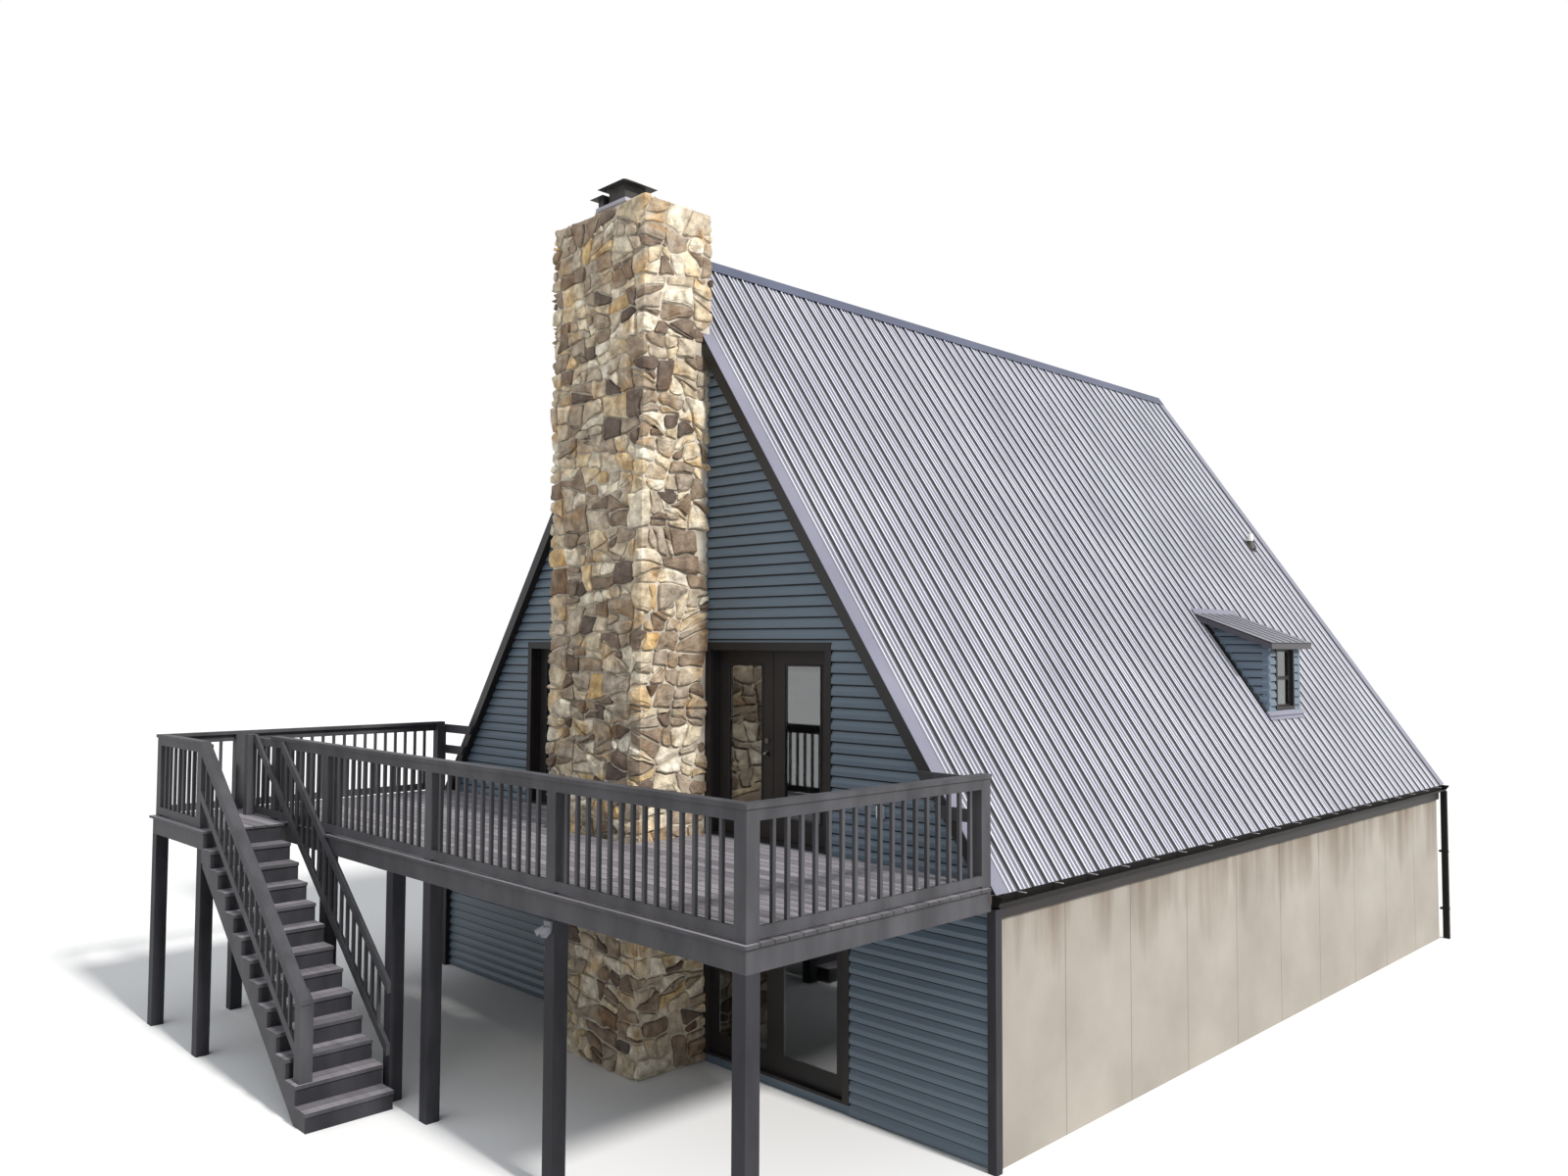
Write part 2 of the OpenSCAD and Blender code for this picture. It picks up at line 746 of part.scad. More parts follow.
// Shed roof of the dormer, with ribs like the main roofing
module dormer_roof() {
    eave = dormer_face + dormer_eave;
    half = dormer_width / 2 + dormer_side_eave;
    top = meet_x(dormer_roof_z, -seat);
    under = meet_x(dormer_under(dormer_face), -seat);
    rib = sheet * 2;
    rib_end = meet_x(dormer_roof_z + rib, -seat);
    function over(x) = dormer_under(x) + dormer_roof_depth;
    color("lightslategray") {
        along_ridge(dormer_centre - half, dormer_centre + half)
            polygon([[eave, dormer_under(eave)], [eave, over(eave)], [top, over(top)],
                [under, dormer_under(under)]]);
        for (i = [-2:2]) translate([0, dormer_centre + i * rib_pitch, 0])
            along_ridge(-rib_top / 2, rib_top / 2)
                polygon([[eave, over(eave)], [eave, over(eave) + rib], [rib_end, over(rib_end) + rib],
                    [top, over(top)]]);
    }
}

// Clearance hole for the vent's collar in the roofing
module vent_hole() {
    translate([vent_place, half_length - vent_setback, 0]) cylinder(r = vent_radius + seat, h = ridge_z);
}

module vent_pipe() {
    base = layer_z(structure_depth, vent_place);
    collar = layer_z(0, vent_place);
    left = vent_place - 2 * vent_radius;
    right = vent_place + 2 * vent_radius;
    color("white")
    translate([vent_place, half_length - vent_setback, 0])
    difference() {
        intersection() {
            translate([0, 0, base - 2 * vent_radius])
                cylinder(r = vent_radius, h = vent_height + 3 * vent_radius);
            translate([-vent_place, 0, 0]) along_ridge(-vent_radius, vent_radius)
                polygon([[left, layer_z(structure_depth, left)], [right, layer_z(structure_depth, right)],
                    [right, ridge_z], [left, ridge_z]]);
        }
        translate([0, 0, collar]) cylinder(r = vent_radius - vent_wall, h = vent_height * 2);
    }
}

module chimney_stack() {
    color("tan")
    block([-stack_width / 2, stack_front, 0], [stack_width / 2, front_y, stack_height]);
}

// Solid with a level foot and a smaller level top, given as half sides in X and Y
module hipped(foot, top, height) {
    intersection() {
        rotate([90, 0, 0]) translate([0, 0, -foot.y]) linear_extrude(2 * foot.y)
            polygon([[-foot.x, 0], [foot.x, 0], [top.x, height], [-top.x, height]]);
        rotate([90, 0, 90]) translate([0, 0, -foot.x]) linear_extrude(2 * foot.x)
            polygon([[-foot.y, 0], [foot.y, 0], [top.y, height], [-top.y, height]]);
    }
}

// Sloping crown, the flue block on it and the plate that closes the block around the two caps
module chimney_crown() {
    crown = [stack_width / 2 - crown_inset, stack_depth / 2 - crown_inset];
    flue = [flue_width / 2, flue_depth / 2];
    plate = [flue.x + plate_reach, flue.y + plate_reach];
    color("gainsboro")
    difference() {
        union() {
            translate([0, (front_y + stack_front) / 2, stack_height])
                hipped(crown, [crown.x - crown_run, crown.y - crown_run], crown_height);
            translate([flue_middle.x - flue.x, flue_middle.y - flue.y, stack_height])
                cube([flue_width, flue_depth, crown_height + flue_height]);
            translate([flue_middle.x - plate.x, flue_middle.y - plate.y, crown_z + flue_height])
                cube([2 * plate.x, 2 * plate.y, plate_thickness]);
        }
        cap_bore(large_cap, screen_side);
    }
}

// Bore of a flue under its cap
module cap_bore(place, side) {
    half = side / 2 - 2 * screen_wall;
    block([place.x - half, place.y - half, stack_height - cut],
        [place.x + half, place.y + half, plate_z + cut]);
}

// Screened cap with a hipped lid
module flue_cap(side, height, reach, rise) {
    half = side / 2;
    difference() {
        translate([-half, -half, 0]) cube([side, side, height]);
        translate([screen_wall - half, screen_wall - half, -cut])
            cube([side - 2 * screen_wall, side - 2 * screen_wall, height]);
    }
    translate([0, 0, height]) hipped([half + reach, half + reach], [half / 3, half / 3], rise);
}

module chimney_caps() {
    color("darkslategray") {
        translate([large_cap.x, large_cap.y, plate_z])
            flue_cap(screen_side, screen_height, lid_overhang, lid_rise);
        translate([small_cap.x, small_cap.y, plate_z])
            flue_cap(small_screen_side, small_screen_height, lid_overhang * 3 / 4, lid_rise / 2);
    }
}

// Frame of the right pair: jambs, head, stops, threshold, casing and the fixed halves of the hinges
module door_frame() {
    casing_inner = frame_half + casing_reveal;
    casing_outer = casing_inner + casing_width;
    top = leaf_top + leaf_gap;
    back = front_y + wall_thickness;
    difference() {
        union() {
            block([-rough_half, front_y, floor_height], [rough_half, back, rough_top]);
            block([-casing_outer, front_y - casing_thickness, floor_height],
                [casing_outer, front_y, top + casing_reveal + casing_width]);
        }
        block([-frame_half, leaf_front - leaf_gap, floor_height + threshold_height],
            [frame_half, back + cut, top]);
        block([stop_reach - frame_half, front_y - cut, floor_height + threshold_height],
            [frame_half - stop_reach, back, top - stop_reach]);
        block([-frame_half, front_y - cut, floor_height + threshold_height],
            [frame_half, leaf_front - leaf_gap - stop_depth, top]);
        block([-casing_inner, front_y - casing_thickness - cut, floor_height - cut],
            [casing_inner, front_y, top + casing_reveal]);
    }
    for (side = [-1, 1], z = hinge_ends)
        translate([side * (frame_half - leaf_gap / 2), hinge_y, leaf_bottom + z]) fixed_hinge(side);
}

// Half of a hinge that stays on the frame: a plate, the two end knuckles and the pin
module fixed_hinge(side) {
    knuckle = hinge_length * 0.3;
    for (z = [0, hinge_length - knuckle]) translate([0, 0, z - hinge_length / 2])
        cylinder(r = barrel_radius, h = knuckle);
    translate([0, 0, -hinge_length / 2]) cylinder(r = barrel_radius / 2, h = hinge_length);
    for (z = [0, hinge_length - knuckle])
        translate([side > 0 ? 0 : -hinge_plate_width, leaf_back - hinge_y, z - hinge_length / 2])
            cube([hinge_plate_width, hinge_plate, knuckle]);
}

// Half of a hinge that moves with a leaf: a plate and the middle knuckle, bored for the pin
module moving_hinge(side) {
    knuckle = hinge_length * 0.4 - 2 * seat;
    difference() {
        union() {
            translate([0, 0, -knuckle / 2]) cylinder(r = barrel_radius, h = knuckle);
            translate([side > 0 ? -hinge_plate_width : 0, leaf_back - hinge_y, -knuckle / 2])
                cube([hinge_plate_width, hinge_plate, knuckle]);
        }
        translate([0, 0, -knuckle]) cylinder(r = barrel_radius / 2 + seat, h = 2 * knuckle);
    }
}

// Frames of both pairs
module door_frames() {
    color("dimgray")
    for (side = [-1, 1]) translate([side * door_centre, 0, 0]) door_frame();
}

// Low and high corners of a leaf's pane, from the leaf's hinge side
function pane_low() = [stile_width, bottom_rail];
function pane_high() = [leaf_width - stile_width, leaf_height - top_rail];

// Places a leaf drawn from its hinge edge: pair is the side of the house, side is the jamb that it hangs on
module place_leaf(pair, side) {
    translate([pair * door_centre + side * (frame_half - leaf_gap), leaf_front, leaf_bottom])
        mirror([side > 0 ? 1 : 0, 0, 0]) children();
}

// One glazed leaf with its moving hinge halves
module door_leaf(pair, side) {
    color("dimgray")
    place_leaf(pair, side)
    difference() {
        cube([leaf_width, leaf_thickness, leaf_height]);
        block([pane_low().x, -cut, pane_low().y], [pane_high().x, leaf_thickness + cut, pane_high().y]);
    }
    for (z = hinge_ends) color("dimgray")
        translate([pair * door_centre + side * (frame_half - leaf_gap / 2), hinge_y, leaf_bottom + z])
            moving_hinge(side);
}

module door_pane(pair, side) {
    color("lightblue", 0.4)
    place_leaf(pair, side)
        block([pane_low().x + seat, (leaf_thickness - glass_thickness) / 2, pane_low().y + seat],
            [pane_high().x - seat, (leaf_thickness + glass_thickness) / 2, pane_high().y - seat]);
}

// Knobs and bolt turns on both faces of a leaf
module leaf_knobs(pair, side) {
    rose = 32;
    neck = 11;
    knob = 27;
    reach = 62;
    rose_depth = 8;
    bolt_rise = 140;
    bolt_depth = 14;
    color("gray")
    place_leaf(pair, side)
    for (face = [0, 1]) translate([leaf_width - stile_width / 2, face * leaf_thickness, knob_height])
        rotate([face == 0 ? 90 : -90, 0, 0]) {
            cylinder(r = rose, h = rose_depth);
            cylinder(r = neck, h = reach - knob);
            translate([0, 0, reach - knob]) sphere(r = knob);
            translate([0, face == 0 ? bolt_rise : -bolt_rise, 0]) cylinder(r = rose, h = bolt_depth);
        }
}

// Posts under the deck and the landing
module deck_posts() {
    color("dimgray") {
        for (x = concat(deck_post_places, [-foot_post]))
            translate([x - deck_post / 2, rim_front, 0]) cube([deck_post, deck_post, frame_bottom]);
        for (x = [-rim_half, rim_half - deck_post])
            translate([x, rim_front, 0]) cube([deck_post, deck_post, frame_bottom]);
        for (x = [-rim_half, header_right - joist_thickness - deck_post])
            translate([x, landing_rim_front, 0]) cube([deck_post, deck_post, frame_bottom]);
        for (x = [-rim_half, rim_half - wall_post])
            translate([x, front_y - wall_post, 0]) cube([wall_post, wall_post, frame_bottom]);
    }
}

// Joist between two places along Y, with its left face at x
module joist(x, y0, y1) {
    block([x, y0, frame_bottom], [x + joist_thickness, y1, frame_top]);
}

// Rims, joists and ledgers of the deck, with the trimmer in front of the chimney
module deck_framing() {
    bays = floor((2 * rim_half - joist_thickness) / joist_pitch);
    pitch = (2 * rim_half - joist_thickness) / bays;
    whole_bays = floor((rim_half - notch_half - joist_thickness) / pitch);
    trimmer_half = rim_half - whole_bays * pitch - joist_thickness - seat;
    trimmer_front = notch_front - joist_thickness;
    front = rim_front + joist_thickness + seat;
    block([-rim_half, rim_front, frame_bottom], [rim_half, rim_front + joist_thickness, frame_top]);
    both_sides() {
        joist(rim_half - joist_thickness, front, rear_rail_y);
        for (i = [1:whole_bays])
            joist(rim_half - i * pitch - joist_thickness, front, front_y - joist_thickness - seat);
        block([notch_half, front_y - joist_thickness, frame_bottom], [rake_clear_x, front_y, frame_top]);
    }
    for (i = [whole_bays + 1:bays - whole_bays - 1])
        joist(i * pitch - rim_half, front, trimmer_front - seat);
    block([-trimmer_half, trimmer_front, frame_bottom], [trimmer_half, notch_front, frame_top]);
}

// Rims and joists of the landing, with the deeper header that carries the stair
module landing_framing() {
    back = rim_front - seat;
    front = landing_rim_front + joist_thickness;
    left = joist_thickness - rim_half;
    right = header_right - joist_thickness;
    pitch = (right - left) / 3;
    joist(-rim_half, landing_rim_front, back);
    for (i = [1, 2]) joist(left + i * pitch, front + seat, back);
    block([left + seat, landing_rim_front, frame_bottom], [right - seat, front, frame_top]);
    block([right, landing_rim_front, frame_top - header_depth], [header_right, stair_back, frame_top]);
}

module deck_frame() {
    color("dimgray") {
        deck_framing();
        landing_framing();
    }
}

// Boards of the deck and the landing, trimmed back to the rim beside the stair's inner railing
module deck_boards() {
    back = front_y - casing_thickness - wall_clearance;
    color("gray")
    translate([0, 0, frame_top]) linear_extrude(deck_board) {
        polygon([[-deck_half, rim_front], [board_trim_end, rim_front], [board_trim_end, deck_front],
            [deck_half, deck_front], [deck_half, notch_front], [-deck_half, notch_front]]);
        polygon([[-deck_half, landing_front], [landing_right, landing_front],
            [landing_right, rim_front - seat], [-deck_half, rim_front - seat]]);
        both_sides()
            polygon([[notch_half, notch_front + seat], [deck_half, notch_front + seat],
                [deck_half, rear_rail_y], [rake_clear_x, rear_rail_y], [rake_clear_x, back],
                [notch_half, back]]);
    }
}

// One straight bay of railing along X between two posts: lower rail, upper rail and balusters.
// The outer face is at y = 0 and the railing is behind it.
module rail_bay(length) {
    count = max(1, round(length / baluster_pitch) - 1);
    pitch = length / (count + 1);
    low = floor_height + rail_gap;
    high = rail_under_cap - rail_depth;
    translate([0, 0, low]) cube([length, rail_board, rail_depth]);
    translate([0, 0, high]) cube([length, rail_board, rail_depth]);
    for (i = [1:count])
        translate([i * pitch - baluster / 2, (rail_board - baluster) / 2, low + rail_depth - cut])
            cube([baluster, baluster, high - low - rail_depth + 2 * cut]);
}

// Post of a railing, standing on the deck, with its corner at the origin
module rail_post_piece() {
    translate([0, 0, floor_height]) cube([rail_post, rail_post, rail_height - rail_board]);
}

// Straight railing along X with posts at the given places and a cap from start to end
module rail_run(places, start, end) {
    for (i = [0:len(places) - 1]) translate([places[i], 0, 0]) rail_post_piece();
    for (i = [0:len(places) - 2])
        translate([places[i] + rail_post, 0, 0]) rail_bay(places[i + 1] - places[i] - rail_post);
    translate([start, -rail_lip, rail_under_cap]) cube([end - start, cap_width, rail_board]);
}

// Railing along the deck's front edge, with the short bay and the slim post beside the landing
module front_railing() {
    places = concat([for (x = deck_post_places) x - rail_post / 2], [rim_half - rail_post]);
    color("dimgray") {
        translate([0, rim_front, 0]) {
            rail_run(places, places[0] - rail_lip, rim_half + rail_lip);
            translate([bay_start, 0, 0]) rail_bay(head_bay);
        }
        block([bay_start, rim_front - slim_post - seat, floor_height],
            [bay_start + slim_post, rim_front - seat, rail_top]);
    }
}

// Board that closes the railing against the rake trim, its end cut to the roof's slope
module return_board(low) {
    high = low + return_depth;
    end = rim_half - rail_post / 2;
    along_ridge(rear_rail_y, -half_length)
        polygon([[layer_x(rake_depth, low), low], [end, low], [end, high],
            [layer_x(rake_depth, high), high]]);
}

// Railing along the right side from the given front, with a post at each place behind it,
// and its two boards against the rake
module side_railing(front, places) {
    rear = rear_rail_y - rail_post;
    stops = concat([front], places, [rear]);
    translate([rim_half, 0, 0]) rotate([0, 0, 90]) {
        for (i = [0:len(stops) - 2])
            translate([stops[i] + rail_post, 0, 0]) rail_bay(stops[i + 1] - stops[i] - rail_post);
        for (y = concat(places, [rear])) translate([y, 0, 0]) rail_post_piece();
        translate([front + cap_width - rail_lip + seat, -rail_lip, rail_under_cap])
            cube([rear_rail_y - front - cap_width + rail_lip - seat, cap_width, rail_board]);
    }
    return_board(rail_under_cap - return_depth);
    return_board(rail_under_cap - 2 * return_depth - return_gap);
}

// Railings along both sides; the left one runs on over the landing
module side_railings() {
    color("dimgray") {
        side_railing(rim_front, []);
        mirror([1, 0, 0]) side_railing(landing_rail_y, [rim_front]);
    }
}

module landing_railing() {
    color("dimgray")
    translate([0, landing_rail_y, 0])
        rail_run([-rim_half, head_post_x], -rim_half - rail_lip, head_post_x + rail_post);
}

// Notched stringers, each seat cut for a tread and each face for a riser board
module stair_stringers() {
    drop = stringer_throat / cos(stair_angle);
    width = stair_back - landing_rim_front;
    notches = [for (k = [1:treads]) each [
        [stair_top + (k - 1) * going - riser_board, tread_z(k) - tread_thickness],
        [stair_top + k * going - riser_board, tread_z(k) - tread_thickness]]];
    start = notches[0];
    end_x = notches[len(notches) - 1].x;
    foot_x = start.x + (start.y - drop) / tan(stair_angle);
    color("dimgray")
    for (i = [0:stringers - 1])
        translate([0, landing_rim_front + i * (width - joist_thickness) / (stringers - 1), 0])
            along_ridge(0, joist_thickness)
                polygon(concat(notches, [[end_x, 0], [foot_x, 0], [start.x, start.y - drop]]));
}

module stair_treads() {
    color("gray")
    for (k = [1:treads])
        block([stair_top + (k - 1) * going, landing_rim_front - tread_reach, tread_z(k) - tread_thickness],
            [stair_top + k * going + nosing, stair_back, tread_z(k)]);
}

module stair_risers() {
    color("dimgray")
    for (k = [0:treads]) {
        top = k == 0 ? frame_top : tread_z(k) - tread_thickness;
        bottom = k == treads ? 0 : tread_z(k + 1) - tread_thickness;
        block([stair_top + k * going - riser_board, landing_rim_front, bottom],
            [stair_top + k * going, stair_back, top]);
    }
}

// Outline of a sloping board between two places, with its lower edge so far above the nosings
module sloping_outline(x0, x1, rise, depth) {
    polygon([[x0, pitch_z(x0) + rise], [x1, pitch_z(x1) + rise],
        [x1, pitch_z(x1) + rise + depth], [x0, pitch_z(x0) + rise + depth]]);
}

// Balusters of a sloping railing between two places, from the lower rail to the upper one
module sloping_balusters(start, end, rise) {
    low = stair_rail_gap + sloping_rail - cut;
    count = round((end - start) / baluster_pitch) - 1;
    pitch = (end - start) / (count + 1);
    along_ridge((rail_board - baluster) / 2, (rail_board + baluster) / 2)
    for (i = [1:count]) {
        x = start + i * pitch;
        sloping_outline(x - baluster / 2, x + baluster / 2, low, rise - low + cut);
    }
}

// Outer railing of the stair: two rails, balusters and cap from the head post down to its newel
module outer_stair_railing() {
    start = head_post_x + rail_post + seat;
    top = stair_rail_rise - sloping_cap;
    newel_end = newel_x + rail_post;
    newel_foot = tread_z(treads - 1);
    along_ridge(0, rail_board) {
        sloping_outline(start, newel_x, stair_rail_gap, sloping_rail);
        sloping_outline(start, newel_x, top - sloping_rail, sloping_rail);
    }
    sloping_balusters(start, newel_x, top - sloping_rail);
    along_ridge(-rail_lip, cap_width - rail_lip)
        sloping_outline(start, newel_end + rail_lip, top, sloping_cap);
    along_ridge(0, rail_post)
        polygon([[newel_x, newel_foot], [newel_end, newel_foot], [newel_end, pitch_z(newel_end) + top],
            [newel_x, pitch_z(newel_x) + top]]);
}

// Inner railing of the stair, on the faces of the deck's posts, its lower rail run on to the slim post
module inner_stair_railing() {
    high = inner_rail_height - sloping_rail;
    along_ridge(0, rail_board) {
        sloping_outline(inner_rail_start, inner_rail_end, high, sloping_rail);
        intersection() {
            sloping_outline(bay_start + slim_post + seat, inner_rail_end, stair_rail_gap, sloping_rail);
            translate([bay_start, 0]) square([inner_rail_end - bay_start, rail_top]);
        }
    }
    sloping_balusters(inner_rail_start, inner_rail_end - deck_post / 2, high);
}

module stair_railings() {
    color("dimgray") {
        translate([0, landing_rail_y, 0]) outer_stair_railing();
        translate([0, rim_front - rail_board, 0]) inner_stair_railing();
    }
}

// Twin-headed floodlight on the face of a deck post
module floodlight() {
    head = lamp_side * 0.6;
    color("white")
    translate([right_post, rim_front, frame_bottom - lamp_side]) {
        translate([-lamp_side / 2, -lamp_side / 3, 0]) cube([lamp_side, lamp_side / 3, lamp_side * 0.8]);
        for (side = [-1, 1]) translate([side * head * 0.8, -lamp_side * 0.75, -lamp_side * 0.1])
            rotate([25, 0, side * 20]) cube([head, lamp_side * 0.9, head * 0.8], center = true);
    }
}

basement_slab();
foundation_sides();
foundation_rear();
basement_wall();
basement_door();
main_floor();
front_wall_lower();
front_wall_upper();
rear_wall();
rear_windows();
window_glass();
roof_left();
roof_right();
metal_roof_left();
metal_roof_right();
ridge_cap();
rake_trims();
eave_boards();
gutters();
dormer_walls();
dormer_roof();
dormer_window();
vent_pipe();
chimney_stack();
chimney_crown();
chimney_caps();
door_frames();
door_leaf(1, -1);  // right_door_inner
door_leaf(1, 1);  // right_door_outer
door_leaf(-1, 1);  // left_door_inner
door_leaf(-1, -1);  // left_door_outer
door_pane(1, -1);  // right_inner_glass
door_pane(1, 1);  // right_outer_glass
door_pane(-1, 1);  // left_inner_glass
door_pane(-1, -1);  // left_outer_glass
leaf_knobs(1, -1);  // right_door_knobs
leaf_knobs(-1, 1);  // left_door_knobs
deck_posts();
deck_frame();
deck_boards();
front_railing();
side_railings();
landing_railing();
stair_stringers();
stair_treads();
stair_risers();
stair_railings();
floodlight();
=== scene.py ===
# %% [markdown]
# # An A-frame cabin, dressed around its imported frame
# The walls, roofs, doors, deck and stair come in as finished solids, in metres, each standing
# where it belongs. This lesson gives them their finishes and adds what is laid over them: stones,
# siding, roofing ribs and screws, deck planks, and the small fittings.

# %% Load the frame
import math
import random

import bmesh
import bpy
from mathutils import Matrix, Vector


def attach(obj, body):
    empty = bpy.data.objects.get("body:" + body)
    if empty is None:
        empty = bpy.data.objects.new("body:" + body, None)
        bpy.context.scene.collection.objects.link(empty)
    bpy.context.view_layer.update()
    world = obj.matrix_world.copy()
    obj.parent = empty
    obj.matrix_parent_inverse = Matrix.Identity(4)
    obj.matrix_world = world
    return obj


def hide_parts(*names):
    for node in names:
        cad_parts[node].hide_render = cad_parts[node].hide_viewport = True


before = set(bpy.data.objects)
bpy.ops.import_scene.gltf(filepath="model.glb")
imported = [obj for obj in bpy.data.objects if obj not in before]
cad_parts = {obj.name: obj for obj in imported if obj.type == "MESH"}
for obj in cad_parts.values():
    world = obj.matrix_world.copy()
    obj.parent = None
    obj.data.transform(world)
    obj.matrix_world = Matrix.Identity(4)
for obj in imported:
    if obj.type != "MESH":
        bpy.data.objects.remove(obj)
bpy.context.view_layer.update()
HOUSE = "house"

# %% [markdown]
# ## The sizes that everything hangs on
# A dressed piece has to sit on the solid that carries it, so the main planes of the house are
# written down once. The roof is described by a slope frame: a distance up the slope from its lower
# edge, and a height square to it, measured from the tops of the ribs.

# %% Main planes of the house, in metres
HALF_WIDTH = 4.82
EAVE_Z = 2.42
RIDGE_Z = 9.32
FRONT_Y = -5.995
REAR_Y = 5.995
FLOOR_Z = 2.495
SLOPE = math.atan2(RIDGE_Z - EAVE_Z, HALF_WIDTH)
SLOPE_LENGTH = math.hypot(RIDGE_Z - EAVE_Z, HALF_WIDTH)
RIB_PITCH = 0.229
RIB_HEIGHT = 0.019
STACK_HALF = 0.84
STACK_FRONT = -6.931
STACK_TOP = 9.495
print("slope", round(math.degrees(SLOPE), 2), "degrees", round(SLOPE_LENGTH, 3), "m long")


def layer_x(depth, z):
    """Distance from the ridge line to a roof layer so deep under the rib tops, at height z."""
    return HALF_WIDTH * (RIDGE_Z - z) / (RIDGE_Z - EAVE_Z) - depth / math.sin(SLOPE)


def slope_frame(side):
    """Matrix from (up the slope, along the ridge, square to the roof) to the house's own axes."""
    up = Vector((-side * math.cos(SLOPE), 0, math.sin(SLOPE)))
    out = Vector((side * math.sin(SLOPE), 0, math.cos(SLOPE)))
    along = Vector((0, -side, 0))
    matrix = Matrix((up, along, out)).transposed().to_4x4()
    matrix.translation = (side * HALF_WIDTH, 0, EAVE_Z)
    return matrix


# %% [markdown]
# ## Helpers for meshes
# Every new piece starts in a bmesh, is shaped there with bmesh operators, and becomes an object at
# the origin. Its place stays in its mesh, and it rides on the body that carries it. Objects could
# be moved into place instead, but a pattern in object coordinates would then slide with them.

# %% Make boxes, keep a tone per face, and finish a piece
def box(bm, low, high, bevel=0.0, tone=None, matrix=None):
    """Bevelled box between two corners."""
    made = bmesh.ops.create_cube(bm, size=1.0)["verts"]
    bmesh.ops.scale(bm, vec=[h - l for l, h in zip(low, high)], verts=made)
    bmesh.ops.translate(bm, vec=[(h + l) / 2 for l, h in zip(low, high)], verts=made)
    if matrix is not None:
        bmesh.ops.transform(bm, matrix=matrix, verts=made)
    faces = {f for v in made for f in v.link_faces}
    if tone is not None:
        layer = bm.faces.layers.float["tone"]
        for face in faces:
            face[layer] = tone
    if bevel:
        edges = list({e for v in made for e in v.link_edges})
        bmesh.ops.bevel(bm, geom=edges, offset=bevel, offset_type="OFFSET", segments=1, profile=0.5,
                        affect="EDGES", clamp_overlap=True, material=-1)


def toned_bmesh():
    """Empty bmesh with one number per face, which a material turns into a colour."""
    bm = bmesh.new()
    bm.faces.layers.float.new("tone")
    return bm


def finish_piece(bm, name, material, body=HOUSE, replaces=()):
    """Turn a bmesh into a piece that rides on a body."""
    mesh = bpy.data.meshes.new(name)
    bm.to_mesh(mesh)
    bm.free()
    for part in material if isinstance(material, tuple) else (material,):
        mesh.materials.append(part)
    piece = bpy.data.objects.new(name, mesh)
    bpy.context.scene.collection.objects.link(piece)
    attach(piece, body)
    if replaces:
        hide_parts(*replaces)
    mesh.calc_loop_triangles()
    print(name, len(mesh.loop_triangles), "triangles")
    return piece


sample = toned_bmesh()
box(sample, (0, 0, 0), (1, 1, 1), bevel=0.01, tone=0.5)
print("a bevelled box has", len(sample.faces), "faces")
sample.free()

# %% [markdown]
# ## Helpers for materials
# A material is a net of nodes. Numbers that are the same all over are set on the shader itself;
# only what changes from place to place is linked to it. Writing out each node by hand would be
# long, so a helper adds one and sets its inputs by their names.

# %% Start a material and add nodes to it
def new_material(name, metallic=0.0, specular=0.5):
    """A material, its node tree and its shader."""
    material = bpy.data.materials.new(name)
    material.use_nodes = True
    shader = material.node_tree.nodes["Principled BSDF"]
    shader.inputs["Metallic"].default_value = metallic
    shader.inputs["Specular IOR Level"].default_value = specular
    return material, material.node_tree, shader


def node(tree, kind, **values):
    """A new node; each value goes to the input of that name, or else to the node's setting."""
    made = tree.nodes.new(kind)
    for key, value in values.items():
        if key in made.inputs:
            made.inputs[key].default_value = value
        else:
            setattr(made, key, value)
    return made


def add_math(tree, operation, first, second=0):
    """A number worked out from two others, each a plain number or a node's output."""
    made = node(tree, "ShaderNodeMath", operation=operation)
    for place, value in enumerate((first, second)):
        if isinstance(value, (int, float)):
            made.inputs[place].default_value = value
        else:
            tree.links.new(value, made.inputs[place])
    return made.outputs[0]


print("the nodes are those of Blender", bpy.app.version_string)

# %% [markdown]
# ## Places and noise
# A pattern has to know where it is. The object's own coordinates say so in metres, so a pattern
# keeps its true scale on every piece. Noise makes a number wander over the surface, and a colour
# ramp turns a number into a colour.

# %% Read places, draw noise and turn numbers into colours
NOISE_OCTAVES = 4.0
NOISE_ROUGHNESS = 0.55


def object_place(tree):
    """The three object coordinates, each as a value."""
    place = node(tree, "ShaderNodeSeparateXYZ")
    tree.links.new(node(tree, "ShaderNodeTexCoord").outputs["Object"], place.inputs[0])
    return place.outputs


def object_noise(tree, scale, stretch=(1, 1, 1), detail=NOISE_OCTAVES):
    """Noise on object coordinates; stretch makes it longer along an axis where it is small."""
    place = node(tree, "ShaderNodeTexCoord")
    mapping = node(tree, "ShaderNodeMapping", Scale=stretch)
    tree.links.new(place.outputs["Object"], mapping.inputs["Vector"])
    noise = node(tree, "ShaderNodeTexNoise", Scale=scale, Detail=detail, Roughness=NOISE_ROUGHNESS)
    tree.links.new(mapping.outputs["Vector"], noise.inputs["Vector"])
    return noise.outputs["Fac"]


def ramp(tree, factor, stops):
    """Colour ramp over a factor; stops are (place, colour) pairs."""
    made = node(tree, "ShaderNodeValToRGB")
    elements = made.color_ramp.elements
    while len(elements) < len(stops):
        elements.new(0.5)
    for element, (place, colour) in zip(elements, stops):
        element.position = place
        element.color = (*colour, 1)
    tree.links.new(factor, made.inputs["Fac"])
    return made.outputs["Color"]


print("noise of", NOISE_OCTAVES, "octaves, unless a finish asks for more")
